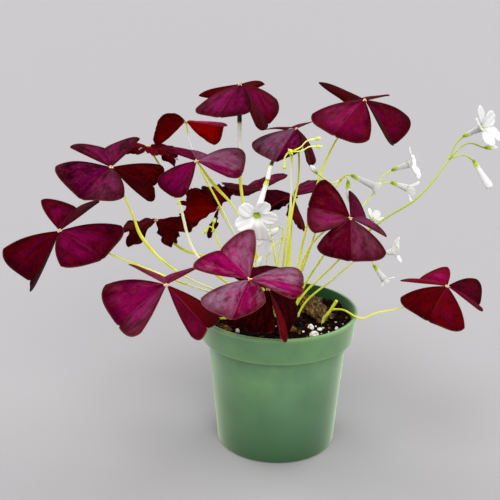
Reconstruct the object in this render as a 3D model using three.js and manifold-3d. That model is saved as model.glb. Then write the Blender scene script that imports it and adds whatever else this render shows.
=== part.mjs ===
// Purple shamrock (Oxalis triangularis) growing in a moulded nursery pot.
// Millimetres, +Z up. The origin is the middle of the pot's flat underside.

import * as THREE from 'three';
import Module from 'manifold-3d';
import { mergeVertices } from 'three/addons/utils/BufferGeometryUtils.js';

// The pot: a tapered body, and a deeper rim band that steps out from it and ends in a thin lip.
const POT_HEIGHT = 96;
const RIM_RADIUS = 54;
const LIP_HEIGHT = 2.4;
const LIP_DEPTH = 0.7;
const BAND_HEIGHT = 18.5;
const BAND_FOOT_RADIUS = 51.7;
const SHOULDER_RADIUS = 47;
const BASE_RADIUS = 40.5;
const BASE_ROUND = 1.6;
const BAND_STEP = 0.5;
const POT_WALL = 1.6;
const POT_FLOOR = 2;
const POT_SIDES = 36;
const DRAIN_HOLES = 6;
const DRAIN_RADIUS = 4.5;
const DRAIN_CIRCLE = 29;
const DRAIN_SIDES = 12;

// The growing mix, and the piece of bark fibre that lies in it.
const MIX_LEVEL = 86.5;
const MIX_BUMP = 0.9;
const MOUND_HEIGHT = 1.8;
const MOUND_RADIUS = 20;
const MIX_RINGS = [40, 28, 15, 0];
const ROOTED_DEPTH = 6;
const BARK_SIZE = [17, 26, 14];
const BARK_CENTRE = [26, 22, 88.5];
const BARK_TURN = 20;
const BARK_CUTTER_SCALE = 1.05;

// Pieces that touch in the real plant keep this gap.
const CLEARANCE = 0.3;

// A leaflet is a rounded triangle: its margins leave the hub wide and close in, its far edge is straight
// between rounded corners, it folds along the midrib and it arches downwards.
const LEAFLET_THICKNESS = 0.7;
const LEAFLET_ROWS = 2;
const LEAFLET_COLUMNS = 4;
const LEAFLET_START = 1;
const MARGIN_ANGLE_AT_HUB = 52;
const MARGIN_ANGLE_AT_TIP = 42;
const CORNER_ROUND = 0.22;
const CORNER_POWER = 4.5;
const ARCH = 0.2;
const HUB_RADIUS = 1.8;
const STEM_TOP_GAP = 0.45;

// Round stems: leaf stems, flower stalks and the thin pedicels of the flowers.
const STEM_RADIUS = 0.75;
const SCAPE_RADIUS = 0.8;
const PEDICEL_RADIUS = 0.45;
const STEM_SIDES = 6;
const STEM_STEPS = 8;
const PEDICEL_SIDES = 5;
const PEDICEL_STEPS = 2;

// Flowers: a green calyx, a white tube that widens to the throat, and five petals.
const CALYX_LENGTH = 4;
const CALYX_OVERLAP = 0.4;
const CALYX_SIDES = 6;
const CALYX_RADIUS = 1.5;
const TUBE_START_RADIUS = 1.1;
const THROAT_RADIUS = 2.3;
const FLOWER_SIDES = 6;
const PETALS = 5;
const PETAL_THICKNESS = 0.6;
const PETAL_HALF_WIDTH = 0.32;
const PETAL_ROOM = 0.85;
const PETAL_CURL = 0.12;
const BUD_RADIUS = 2;

// Each leaf: its hub, where its stem leaves the mix, the points that the stem bends through, and its three
// leaflets. A leaflet has its heading, dip and roll in degrees, its length, and how far its left and its
// right half fold down along the midrib, in degrees.
const LEAVES = [
  {
    hub: [-27, 10, 245], foot: [-3, 6], bends: [[-25, 8, 172], [-27, 10, 210]],
    leaflets: [[242, 25, -3, 30, -9, 7], [356, 45, 28, 32, 1, -19], [105, 16, -10, 33, -11, -8]],
  },
  {
    hub: [-66, 50, 213], foot: [-5, 13], bends: [[-38, 35, 150], [-62, 48, 195]],
    leaflets: [[208, 2, 53, 24, 8, 8], [18, 0, -75, 26, -1, 74], [85, 3, 0, 22, 8, 8]],
  },
  {
    hub: [-108, -10, 194], foot: [-11, 3], bends: [[-68, -3, 122], [-90, -6, 146], [-95, -7, 160]],
    leaflets: [[250, 11, -17, 36, -16, -20], [341, 15, 54, 30, 34, 72], [108, -20, -7, 34, -17, -12]],
  },
  {
    hub: [-141, -20, 154], foot: [-13, -2], bends: [[-70, -8, 118], [-108, -14, 136]],
    leaflets: [[252, 40, -66, 38, 53, 9], [324, 9, 22, 38, -6, -18], [82, -24, -10, 31, -30, -14]],
  },
  {
    hub: [-53, -14, 200], foot: [-7, 1], bends: [[-28, -6, 165], [-43, -11, 185]],
    leaflets: [[215, 42, -11, 27, -24, -7], [354, 5, 21, 30, -10, -23], [105, -13, -3, 29, -9, 25]],
  },
  {
    hub: [10, 5, 218], foot: [4, 3], bends: [[8, 3, 160], [12, 5, 188]],
    leaflets: [[236, 27, -3, 29, -26, -13], [344, 56, 8, 26, 13, -19], [106, 2, -4, 26, -3, -8]],
  },
  {
    hub: [52, 0, 238], foot: [8, 3], bends: [[18, 1, 153], [31, 0, 203]],
    leaflets: [[224, 29, -19, 32, -5, 2], [341, 45, 25, 34, -3, -36], [101, 4, 7, 37, -23, -15]],
  },
  {
    hub: [45, -20, 166], foot: [9, -3], bends: [[14, -6, 125], [27, -16, 154]],
    leaflets: [[189, -21, -55, 28, -18, -13], [270, 31, -3, 31, -1, -7], [56, 6, 46, 29, -5, -17]],
  },
  {
    hub: [111, -10, 118], foot: [33, 3], bends: [[42, -8, 99], [56, -15, 96], [64, -14, 99], [82, -12, 103]],
    leaflets: [[241, 18, -15, 32, 4, -4], [358, 21, 20, 26, -14, -23], [123, -2, -8, 29, -14, -7]],
  },
  {
    hub: [-17, -70, 142], foot: [-3, -8], bends: [[-18, -26, 103], [-30, -48, 116], [-20, -66, 130]],
    leaflets: [[251, 20, -2, 31, -29, -12], [358, -3, 8, 32, 1, -8], [133, -26, -30, 33, -18, -13]],
  },
  {
    hub: [-69, -50, 130], foot: [-10, -6], bends: [[-40, -32, 101], [-61, -38, 112]],
    leaflets: [[205, 29, -24, 39, -25, -14], [331, 35, 45, 37, 58, 70], [103, 2, -20, 35, -43, 8]],
  },
  {
    hub: [-6, -50, 128.5], foot: [2, -7], bends: [[-2, -24, 104]],
    leaflets: [[228, 30, 9, 30, 8, 8], [1, 56, -28, 30, -54, 35], [110, -24, 0, 26, 8, 8]],
  },
  {
    hub: [-44, 60, 148], foot: [-1, 17], bends: [[-30, 44, 130]],
    leaflets: [[178, -10, 66, 26, 8, 8], [231, 44, 46, 20, 8, 8], [110, -38, 0, 24, 8, 8]],
  },
  {
    hub: [-88, 50, 141], foot: [-8, 9], bends: [[-42, 28, 118], [-73, 45, 124]],
    leaflets: [[186, 15, -16, 25, 8, 8], [326, 4, 23, 24, 8, 8], [80, 8, 0, 22, 8, 8]],
  },
  {
    hub: [-13, 84, 156], foot: [2, 20], bends: [[-4, 52, 122]],
    leaflets: [[200, -20, 0, 28, 8, 8], [320, 5, 10, 24, 8, 8], [85, -21, -20, 24, 8, 8]],
  },
  {
    hub: [9, 50, 161], foot: [7, 17], bends: [[8, 36, 122]],
    leaflets: [[300, 42, -45, 24, 8, 8], [30, -30, -4, 24, 8, 8], [150, 20, 0, 20, 8, 8]],
  },
  {
    hub: [-91, 40, 197], foot: [-12, 8], bends: [[-56, 16, 127], [-71, 28, 166]],
    leaflets: [[195, -12, 0, 21, 8, 8], [290, -6, -6, 17, 8, 8], [20, 10, 13, 20, 8, 8]],
  },
];

// A leaf stem that was cut short.
const CUT_STEM = { foot: [31, -4], points: [[34, -8, 96], [39, -10, 106]] };

// Each flower stalk rises from the mix through its points to a node, where its pedicels part. A pedicel's
// last point is the seat of a calyx, which points at the flower or bud of that name. A pedicel without a
// flower has dropped it, and keeps its calyx.
const STALKS = [
  {
    name: 'stalk_right', foot: [11, 9], points: [[39, 5, 128], [66, 10, 154], [92, 6, 175], [110, 10, 199]],
    pedicels: [
      { flower: 'flower_right', points: [[113, 9, 209], [117, 8, 214]] },
      { flower: 'bud_right', points: [[120, 9, 209], [131, 7, 207]] },
      { flower: 'bud_hanging', points: [[119, 10, 201], [125, 10, 198]] },
    ],
  },
  {
    name: 'stalk_middle', foot: [12, 14], points: [[32, 18, 130], [57, 20, 164], [65, 20, 176]],
    pedicels: [
      { flower: 'flower_upper', points: [[69, 20, 184], [74, 20, 188]] },
      { flower: 'flower_lower', points: [[69, 20, 179], [74, 20, 179.5]] },
    ],
  },
  {
    name: 'stalk_behind', foot: [8, 11], points: [[20, 14, 130], [33, 15, 170], [40, 15, 182]],
    pedicels: [
      { flower: 'flower_side', points: [[43, 15, 185], [47, 16, 185]] },
      { flower: 'bud_drooping', points: [[43.5, 16, 184], [45, 17, 181]] },
      { flower: 'bud_nodding', points: [[34, 5, 182.5], [29, -4.5, 187], [23, -10, 192.5]] },
    ],
  },
  {
    name: 'stalk_centre', foot: [1, 9], points: [[4, 0, 138], [7, -3, 172], [7, -5, 205]],
    pedicels: [
      { flower: 'flower_front', points: [[1, -6, 206], [-5, -8, 199], [-8, -10, 188]] },
    ],
  },
  {
    name: 'stalk_front', foot: [7, -7], points: [[7, -8, 140], [7, -18, 185], [6, -26, 209.5]],
    pedicels: [
      { points: [[2.8, -26, 206.5], [2.5, -26, 201]] },
      { points: [[12, -26, 212.5], [16, -26, 216.5], [21, -25, 217.5]] },
      { points: [[13, -26.5, 210.5], [17.5, -26.5, 213], [22, -26, 213]] },
    ],
  },
  {
    name: 'stalk_low', foot: [-1, 0], points: [[-2, -2, 115], [2, -2, 146]],
    pedicels: [
      { flower: 'flower_low', points: [[2, -4, 154], [0, -7, 155]] },
      { flower: 'bud_low', points: [[-6, -5, 138], [-12, -10, 122], [-15, -13, 126]] },
    ],
  },
  {
    name: 'stalk_spent', foot: [-6.5, -3], points: [[-25, -12, 118], [-38, -16, 145], [-42, -16, 155]],
    pedicels: [
      { points: [[-44.5, -16, 157.5], [-46.7, -16, 155]] },
      { points: [[-42.5, -16, 158], [-42, -16, 160]] },
    ],
  },
  {
    name: 'stalk_side', foot: [15, 8], points: [[40, 11, 116], [61, 20, 132]],
    pedicels: [
      { flower: 'flower_pale', points: [[60, 21, 143], [61, 22, 150]] },
      { flower: 'flower_edge', points: [[66, 21, 131], [70, 21, 129]] },
      { flower: 'flower_tube', points: [[63, 18, 128], [65, 17, 122]] },
    ],
  },
];

// Each flower: where its throat is, how long its petals are, and how far they open from its axis.
const FLOWERS = {
  flower_right: { throat: [127, 2, 221], petal: 15, opening: 62, turn: 20 },
  flower_upper: { throat: [85, 17, 193], petal: 12, opening: 62, turn: 0 },
  flower_lower: { throat: [85, 17, 176.5], petal: 9, opening: 38, turn: 30 },
  flower_side: { throat: [62, 14, 178.5], petal: 6, opening: 30, turn: 0 },
  flower_front: { throat: [-14, -30, 171], petal: 13, opening: 78, turn: 24 },
  flower_low: { throat: [-6, -16, 152], petal: 11, opening: 60, turn: 0 },
  flower_pale: { throat: [65, 21, 155], petal: 9, opening: 45, turn: 0 },
  flower_edge: { throat: [78, 20, 131], petal: 11, opening: 50, turn: 10 },
  flower_tube: { throat: [73, 14, 112], petal: 6, opening: 55, turn: 0 },
};

// Each bud: its tip.
const BUDS = {
  bud_right: [139, 4, 208],
  bud_hanging: [137, 6, 180],
  bud_drooping: [46, 18, 166],
  bud_nodding: [18.5, -16, 199],
  bud_low: [-11, -14, 138],
};

const MATERIALS = {
  pot: new THREE.MeshStandardMaterial({ color: 0x67967a, roughness: 0.45, metalness: 0 }),
  mix: new THREE.MeshStandardMaterial({ color: 0x22120a, roughness: 1, metalness: 0 }),
  bark: new THREE.MeshStandardMaterial({ color: 0x6b4a20, roughness: 0.95, metalness: 0 }),
  blade: new THREE.MeshStandardMaterial({ color: 0x5c0a3c, roughness: 0.6, metalness: 0 }),
  stem: new THREE.MeshStandardMaterial({ color: 0xc8d232, roughness: 0.5, metalness: 0 }),
  petal: new THREE.MeshStandardMaterial({ color: 0xf4f6f4, roughness: 0.6, metalness: 0 }),
};

const UP = new THREE.Vector3(0, 0, 1);

const wasm = await Module();
wasm.setup();

function vector(values) {
  return new THREE.Vector3(...values);
}

// A closed geometry as a manifold solid, with its faces turned outwards and its collapsed faces dropped.
function solid(geometry) {
  const bare = geometry.clone();
  bare.deleteAttribute('normal');
  bare.deleteAttribute('uv');
  const merged = mergeVertices(bare, 1e-4);
  const position = merged.attributes.position;
  const corners = merged.index.array;
  const triangles = [];
  const [a, b, c] = [new THREE.Vector3(), new THREE.Vector3(), new THREE.Vector3()];
  let volume = 0;
  for (let i = 0; i < corners.length; i += 3) {
    const [p, q, r] = [corners[i], corners[i + 1], corners[i + 2]];
    if (p === q || q === r || r === p) {
      continue;
    }
    triangles.push(p, q, r);
    a.fromBufferAttribute(position, p);
    b.fromBufferAttribute(position, q);
    c.fromBufferAttribute(position, r);
    volume += a.dot(b.cross(c));
  }
  if (volume < 0) {
    triangles.reverse();
  }
  return new wasm.Manifold(new wasm.Mesh({
    numProp: 3,
    vertProperties: new Float32Array(position.array),
    triVerts: new Uint32Array(triangles),
  }));
}

function join(solids) {
  return solids.reduce((whole, piece) => whole.add(piece));
}

// The outer shell alone: any void that joined pieces close off between them is filled.
function filled(body) {
  return body.decompose().find((shell) => shell.volume() > 0);
}

function part(name, body, material) {
  const mesh = body.getMesh();
  const geometry = new THREE.BufferGeometry();
  geometry.setAttribute('position', new THREE.BufferAttribute(mesh.vertProperties, 3));
  geometry.setIndex(new THREE.BufferAttribute(mesh.triVerts, 1));
  geometry.computeVertexNormals();
  const node = new THREE.Mesh(geometry, material);
  node.name = name;
  return node;
}

// Turns a profile of [radius, height] pairs about the vertical axis.
function turned(profile, sides) {
  const points = profile.map(([radius, height]) => new THREE.Vector2(radius, height));
  return new THREE.LatheGeometry(points, sides).rotateX(Math.PI / 2);
}

// A round solid from one point to another, whose profile gives [share of the length, radius] pairs.
function turnedBetween(start, end, profile, sides) {
  const axis = end.clone().sub(start);
  const length = axis.length();
  const geometry = turned(profile.map(([share, radius]) => [radius, share * length]), sides);
  geometry.applyQuaternion(new THREE.Quaternion().setFromUnitVectors(UP, axis.normalize()));
  return solid(geometry.translate(...start));
}

function tube(points, radius, sides, steps) {
  const path = new THREE.CatmullRomCurve3(points, false, 'centripetal');
  const section = new THREE.Shape();
  for (let side = 0; side < sides; side += 1) {
    const angle = (side / sides) * 2 * Math.PI;
    const corner = [radius * Math.cos(angle), radius * Math.sin(angle)];
    if (side === 0) {
      section.moveTo(...corner);
    } else {
      section.lineTo(...corner);
    }
  }
  section.closePath();
  return solid(new THREE.ExtrudeGeometry(section, { steps, extrudePath: path, bevelEnabled: false }));
}

function potBody() {
  const bandFoot = POT_HEIGHT - BAND_HEIGHT;
  const outside = [
    [0, 0],
    [BASE_RADIUS - BASE_ROUND, 0],
    [BASE_RADIUS, BASE_ROUND],
    [SHOULDER_RADIUS, bandFoot - BAND_STEP],
    [BAND_FOOT_RADIUS, bandFoot],
    [RIM_RADIUS - LIP_DEPTH, POT_HEIGHT - LIP_HEIGHT],
    [RIM_RADIUS, POT_HEIGHT - LIP_HEIGHT + LIP_DEPTH],
    [RIM_RADIUS, POT_HEIGHT],
  ];
  const inside = potInside(0);
  const holes = [];
  for (let hole = 0; hole < DRAIN_HOLES; hole += 1) {
    const angle = (hole / DRAIN_HOLES) * 2 * Math.PI;
    const cutter = new THREE.CylinderGeometry(DRAIN_RADIUS, DRAIN_RADIUS, POT_FLOOR * 4, DRAIN_SIDES);
    cutter.rotateX(Math.PI / 2);
    cutter.translate(DRAIN_CIRCLE * Math.cos(angle), DRAIN_CIRCLE * Math.sin(angle), 0);
    holes.push(solid(cutter));
  }
  const shell = solid(turned([...outside, ...inside], POT_SIDES));
  return shell.subtract(join(holes));
}

// The pot's inner profile from the rim down to the axis, moved inwards by a gap.
function potInside(gap) {
  const bandFoot = POT_HEIGHT - BAND_HEIGHT;
  return [
    [RIM_RADIUS - LIP_DEPTH - POT_WALL - gap, POT_HEIGHT],
    [BAND_FOOT_RADIUS - POT_WALL - gap, bandFoot + POT_WALL + gap],
    [SHOULDER_RADIUS - POT_WALL - gap, bandFoot + gap],
    [BASE_RADIUS - POT_WALL - gap, POT_FLOOR + 1.5 + gap],
    [BASE_RADIUS - POT_WALL - 1.5 - gap, POT_FLOOR + gap],
    [0, POT_FLOOR + gap],
  ];
}

// The uneven top of the mix, highest where the plant stands.
function mixTop(x, y) {
  const bumps = Math.sin(x / 7 + 1) * Math.cos(y / 6) + 0.6 * Math.sin(x / 3.1) * Math.sin(y / 3.7 + 2);
  const mound = MOUND_HEIGHT * Math.exp(-((x * x + y * y) / (MOUND_RADIUS * MOUND_RADIUS)));
  return MIX_LEVEL + MIX_BUMP * bumps + mound;
}

function bark(scale) {
  const block = new THREE.BoxGeometry(...BARK_SIZE, 3, 4, 2);
  const position = block.attributes.position;
  const point = new THREE.Vector3();
  for (let i = 0; i < position.count; i += 1) {
    point.fromBufferAttribute(position, i);
    const ends = 1 - 0.35 * (2 * point.y / BARK_SIZE[1]) ** 2;
    const rough = 1 + 0.1 * Math.sin(point.x * 0.9 + point.y * 0.7) + 0.08 * Math.sin(point.z + point.y * 1.3);
    position.setXYZ(i, point.x * ends * rough, point.y, point.z * ends * rough);
  }
  block.scale(scale, scale, scale);
  block.rotateZ(THREE.MathUtils.degToRad(BARK_TURN));
  block.translate(...BARK_CENTRE);
  return solid(block);
}

function mixBody(cutters) {
  const wall = potInside(CLEARANCE).slice(1).reverse();
  const edge = BAND_FOOT_RADIUS - POT_WALL - CLEARANCE;
  const rings = [edge, ...MIX_RINGS].map((radius) => [radius, MIX_LEVEL]);
  const geometry = turned([...wall, ...rings], POT_SIDES);
  const position = geometry.attributes.position;
  for (let i = 0; i < position.count; i += 1) {
    if (position.getZ(i) > MIX_LEVEL - 0.01) {
      position.setZ(i, mixTop(position.getX(i), position.getY(i)));
    }
  }
  return solid(geometry).subtract(join(cutters));
}

// Where a stem starts in the mix, and where it comes out of it.
function footPoints([x, y], extra) {
  return [new THREE.Vector3(x, y, MIX_LEVEL - ROOTED_DEPTH - extra), new THREE.Vector3(x, y, MIX_LEVEL + 3)];
}

// A point at the given distance from an end, on the way to the point before it.
function shortOf(end, before, distance) {
  return end.clone().add(before.clone().sub(end).setLength(distance));
}

// A slab with rows along its length and columns across it, whose points a function places: it gets the
// share of the length, the share across from -1 to 1, and the side, -0.5 underneath and 0.5 on top.
function shapedSlab(rows, columns, start, place) {
  const slab = new THREE.BoxGeometry(1, 2, 1, rows, columns, 1);
  const position = slab.attributes.position;
  for (let i = 0; i < position.count; i += 1) {
    const along = start + (1 - start) * (position.getX(i) + 0.5);
    position.setXYZ(i, ...place(along, position.getY(i), position.getZ(i)));
  }
  return slab;
}

function leafletPoint(length, folds, along, across, side) {
  const spread = MARGIN_ANGLE_AT_HUB + (MARGIN_ANGLE_AT_TIP - MARGIN_ANGLE_AT_HUB) * along ** 2;
  const share = 1 - (1 - Math.abs(across)) ** 1.4;
  const angle = THREE.MathUtils.degToRad(spread * share);
  const straight = 1 / Math.cos(THREE.MathUtils.degToRad(MARGIN_ANGLE_AT_TIP * share));
  const reach = length * along * straight * (1 - CORNER_ROUND * share ** CORNER_POWER);
  const x = reach * Math.cos(angle);
  const y = reach * Math.sin(angle);
  const fold = THREE.MathUtils.degToRad(across > 0 ? folds[0] : folds[1]);
  const drop = y * Math.sin(fold) + (ARCH * x * x) / length;
  return [x, Math.sign(across) * y * Math.cos(fold), side * LEAFLET_THICKNESS - drop];
}

function leaflet([heading, dip, roll, length, ...folds]) {
  const slab = shapedSlab(LEAFLET_ROWS, LEAFLET_COLUMNS, LEAFLET_START / length,
    (along, across, side) => leafletPoint(length, folds, along, across, side));
  const [a, b, c] = [roll, dip, heading].map(THREE.MathUtils.degToRad);
  slab.applyMatrix4(new THREE.Matrix4().makeRotationFromEuler(new THREE.Euler(a, b, c, 'ZYX')));
  return slab;
}

function leafBlade(leaf) {
  const leaflets = leaf.leaflets.map((values) => solid(leaflet(values)));
  const hub = solid(new THREE.OctahedronGeometry(HUB_RADIUS, 0));
  return filled(join([hub, ...leaflets])).translate(leaf.hub);
}

function stemPoints(leaf, extra) {
  const bends = leaf.bends.map(vector);
  const end = shortOf(vector(leaf.hub), bends.at(-1), HUB_RADIUS + STEM_TOP_GAP);
  return [...footPoints(leaf.foot, extra), ...bends, end];
}

function cutStemPoints(extra) {
  return [...footPoints(CUT_STEM.foot, extra), ...CUT_STEM.points.map(vector)];
}

function stalkPoints(stalk, extra) {
  return [...footPoints(stalk.foot, extra), ...stalk.points.map(vector)];
}

// Where a calyx points: at its flower's throat, at its bud's tip, or straight on where the flower dropped.
function calyxAim(flower, path) {
  if (FLOWERS[flower]) {
    return vector(FLOWERS[flower].throat);
  }
  if (BUDS[flower]) {
    return vector(BUDS[flower]);
  }
  return path.at(-1).clone().multiplyScalar(2).sub(path.at(-2));
}

// The pedicel runs from the stalk's node into the foot of its calyx.
function pedicel(node, { flower, points }) {
  const path = [node, ...points.map(vector)];
  const seat = path.at(-1);
  const aim = calyxAim(flower, path);
  const stem = tube(path, PEDICEL_RADIUS, PEDICEL_SIDES, PEDICEL_STEPS * points.length);
  const calyx = turnedBetween(shortOf(seat, aim, -CALYX_OVERLAP), shortOf(seat, aim, CALYX_LENGTH),
    [[0, 0], [0, PEDICEL_RADIUS * 1.4], [0.5, CALYX_RADIUS], [1, CALYX_RADIUS], [1, 0]], CALYX_SIDES);
  return [stem, calyx];
}

function stalkBody(stalk) {
  const node = vector(stalk.points.at(-1));
  const main = tube(stalkPoints(stalk, 0), SCAPE_RADIUS, STEM_SIDES, STEM_STEPS);
  return join([main, ...stalk.pedicels.flatMap((branch) => pedicel(node, branch))]);
}

function petal(length, openingAngle, turn) {
  const opening = THREE.MathUtils.degToRad(openingAngle);
  const root = THROAT_RADIUS * 0.5;
  const slab = shapedSlab(2, 1, 0, (along, across, side) => {
    const width = PETAL_HALF_WIDTH * length * Math.sin(Math.PI * (0.02 + 0.78 * along));
    const room = Math.tan(Math.PI / PETALS) * (root + length * along * Math.sin(opening));
    const curl = PETAL_CURL * length * along * along;
    return [length * along, Math.min(width, PETAL_ROOM * room) * across, side * PETAL_THICKNESS + curl];
  });
  slab.rotateY(opening - Math.PI / 2);
  slab.translate(root, 0, 0);
  slab.rotateZ(turn);
  return slab;
}

function flowerBody(seat, { throat, petal: length, opening, turn }) {
  const end = vector(throat);
  const start = shortOf(seat, end, CALYX_LENGTH + CLEARANCE);
  const tubeBody = turnedBetween(start, end,
    [[0, 0], [0, TUBE_START_RADIUS], [0.6, TUBE_START_RADIUS * 1.3], [1, THROAT_RADIUS], [1, 0]], FLOWER_SIDES);
  const facing = new THREE.Quaternion().setFromUnitVectors(UP, end.clone().sub(start).normalize());
  const petals = [];
  for (let i = 0; i < PETALS; i += 1) {
    const slab = petal(length, opening, (i / PETALS) * 2 * Math.PI + THREE.MathUtils.degToRad(turn));
    slab.applyQuaternion(facing);
    slab.translate(...shortOf(end, start, 1));
    petals.push(solid(slab));
  }
  return join([tubeBody, ...petals]);
}

function budBody(seat, tip) {
  const end = vector(tip);
  const start = shortOf(seat, end, CALYX_LENGTH + CLEARANCE);
  return turnedBetween(start, end,
    [[0, 0], [0, TUBE_START_RADIUS], [0.55, BUD_RADIUS], [0.85, BUD_RADIUS * 0.8], [1, 0]], FLOWER_SIDES);
}

const plant = new THREE.Group();

const rooted = [
  ...LEAVES.map((leaf) => tube(stemPoints(leaf, CLEARANCE), STEM_RADIUS + CLEARANCE, STEM_SIDES, STEM_STEPS)),
  ...STALKS.map((stalk) => tube(stalkPoints(stalk, CLEARANCE), SCAPE_RADIUS + CLEARANCE, STEM_SIDES, STEM_STEPS)),
  tube(cutStemPoints(CLEARANCE), STEM_RADIUS + CLEARANCE, STEM_SIDES, PEDICEL_STEPS),
];

plant.add(part('pot', potBody(), MATERIALS.pot));
plant.add(part('growing_mix', mixBody([...rooted, bark(BARK_CUTTER_SCALE)]), MATERIALS.mix));
plant.add(part('bark_chunk', bark(1), MATERIALS.bark));
plant.add(part('cut_stem', tube(cutStemPoints(0), STEM_RADIUS, STEM_SIDES, PEDICEL_STEPS), MATERIALS.stem));

LEAVES.forEach((leaf, index) => {
  const number = String(index + 1).padStart(2, '0');
  const stem = tube(stemPoints(leaf, 0), STEM_RADIUS, STEM_SIDES, STEM_STEPS);
  plant.add(part(`leaf_stem_${number}`, stem, MATERIALS.stem));
  plant.add(part(`leaf_blade_${number}`, leafBlade(leaf), MATERIALS.blade));
});

STALKS.forEach((stalk) => {
  plant.add(part(stalk.name, stalkBody(stalk), MATERIALS.stem));
  stalk.pedicels.filter(({ flower }) => flower).forEach(({ flower, points }) => {
    const seat = vector(points.at(-1));
    const body = FLOWERS[flower] ? flowerBody(seat, FLOWERS[flower]) : budBody(seat, BUDS[flower]);
    plant.add(part(flower, body, MATERIALS.petal));
  });
});

export default plant;
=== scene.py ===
# A purple shamrock in its nursery pot. Every mesh is built in millimetres, Z up, with the pot's base on the
# floor at the origin, and is turned into metres when its object is made.
import random
from math import cos, exp, hypot, pi, radians, sin

import bmesh
import bpy
from mathutils import Matrix, Vector, noise


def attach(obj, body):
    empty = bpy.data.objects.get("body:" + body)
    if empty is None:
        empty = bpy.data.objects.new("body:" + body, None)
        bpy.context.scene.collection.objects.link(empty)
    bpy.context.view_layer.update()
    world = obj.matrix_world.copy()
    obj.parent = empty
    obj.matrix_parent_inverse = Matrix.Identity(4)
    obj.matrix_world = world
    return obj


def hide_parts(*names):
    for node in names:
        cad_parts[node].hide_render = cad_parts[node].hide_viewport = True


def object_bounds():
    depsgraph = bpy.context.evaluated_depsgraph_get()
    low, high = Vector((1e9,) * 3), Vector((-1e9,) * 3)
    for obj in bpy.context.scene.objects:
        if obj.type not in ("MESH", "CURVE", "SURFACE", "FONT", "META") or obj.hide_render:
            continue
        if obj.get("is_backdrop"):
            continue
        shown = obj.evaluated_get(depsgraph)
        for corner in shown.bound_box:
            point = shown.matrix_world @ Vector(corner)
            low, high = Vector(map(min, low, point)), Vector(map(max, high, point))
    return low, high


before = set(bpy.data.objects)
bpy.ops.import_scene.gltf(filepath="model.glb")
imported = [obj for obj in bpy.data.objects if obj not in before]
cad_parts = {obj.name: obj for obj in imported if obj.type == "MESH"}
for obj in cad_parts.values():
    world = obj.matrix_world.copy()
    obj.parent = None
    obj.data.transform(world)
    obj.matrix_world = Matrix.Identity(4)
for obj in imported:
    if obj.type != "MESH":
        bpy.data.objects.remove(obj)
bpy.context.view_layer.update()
scene = bpy.context.scene
scene.view_settings.view_transform = "Standard"

lens = bpy.data.cameras.new("camera")
lens.sensor_width = 36
lens.lens = 68.4
camera = bpy.data.objects.new("camera", lens)
camera.matrix_world = (
    Matrix.Translation((0, -0.598, 0.337))
    @ Matrix.Rotation(radians(1.83), 4, "Z")
    @ Matrix.Rotation(radians(90 - 18.5), 4, "X")
    @ Matrix.Rotation(radians(0.57), 4, "Z")
)
scene.collection.objects.link(camera)
scene.camera = camera


# ---- Pot ------------------------------------------------------------------------------------------------
# The grower's round pot: one thin shell of injection-moulded polypropylene, with a deeper band under a
# rolled rim and six drain holes through its floor. It stands on its flat base and holds everything else.

def linear(code):
    """The linear colour of an sRGB hex value."""
    parts = [int(code[i:i + 2], 16) / 255 for i in (1, 3, 5)]
    return *(part / 12.92 if part <= 0.04045 else ((part + 0.055) / 1.055) ** 2.4 for part in parts), 1


def add(tree, kind, links, stops=(), **settings):
    """Adds a shader node. Links gives its inputs values or nodes' outputs, and stops a ramp's colours."""
    node = tree.nodes.new("ShaderNode" + kind)
    for name, value in settings.items():
        setattr(node, name, value)
    for place, (position, code) in enumerate(stops):
        ramp = node.color_ramp.elements
        stop = ramp[place] if place < 2 else ramp.new(position)
        stop.position = position
        stop.color = linear(code)
    for name, value in links.items():
        if isinstance(value, bpy.types.NodeSocket):
            tree.links.new(value, node.inputs[name])
        else:
            node.inputs[name].default_value = value
    return node.outputs


def new_finish(name, sockets):
    """Makes a material with its shader's plain sockets set. Gives it, its tree and the shader's inputs."""
    material = bpy.data.materials.new(name)
    material.use_nodes = True
    shader = material.node_tree.nodes["Principled BSDF"]
    for socket, value in sockets.items():
        shader.inputs[socket].default_value = value
    return material, material.node_tree, shader.inputs


def feed(tree, shader, outputs):
    """Links nodes' outputs to the shader's sockets."""
    for socket, output in outputs.items():
        tree.links.new(output, shader[socket])


def turn(body, profile, sides):
    """Spins a profile of (radius, height) points, some with a rounding, round Z. Gives the new vertices."""
    before = set(body.verts)
    line = [body.verts.new((radius, 0, height)) for radius, height, *rounding in profile]
    for pair in zip(line, line[1:]):
        body.edges.new(pair)
    for corner, (radius, height, *rounding) in zip(line, profile):
        if rounding:
            bmesh.ops.bevel(body, geom=[corner], offset=rounding[0], offset_type="OFFSET", segments=4,
                            profile=0.5, affect="VERTICES", material=-1)
    line = [vert for vert in body.verts if vert not in before]
    edges = list(dict.fromkeys(edge for vert in line for edge in vert.link_edges))
    bmesh.ops.spin(body, geom=line + edges, cent=(0, 0, 0), axis=(0, 0, 1), dvec=(0, 0, 0),
                   angle=2 * pi, steps=sides, use_merge=True)
    fresh = [vert for vert in body.verts if vert not in before]
    bmesh.ops.remove_doubles(body, verts=fresh, dist=0.002)
    fresh = [vert for vert in body.verts if vert not in before]
    faces = list(dict.fromkeys(face for vert in fresh for face in vert.link_faces))
    bmesh.ops.recalc_face_normals(body, faces=faces)
    return fresh


def make(name, body, *materials):
    """Makes a finished object in metres of a mesh built in millimetres."""
    bmesh.ops.scale(body, vec=(0.001, 0.001, 0.001), verts=body.verts)
    mesh = bpy.data.meshes.new(name)
    body.to_mesh(mesh)
    body.free()
    mesh.shade_smooth()
    for material in materials:
        mesh.materials.append(material)
    piece = bpy.data.objects.new(name, mesh)
    scene.collection.objects.link(piece)
    return piece


POT_HEIGHT = 96
BAND_FOOT = 77.5
WALL = 1.6
POT_SIDES = 144
DRAINS = 6
DRAIN_RADIUS = 4.5
DRAIN_CIRCLE = 29

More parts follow.
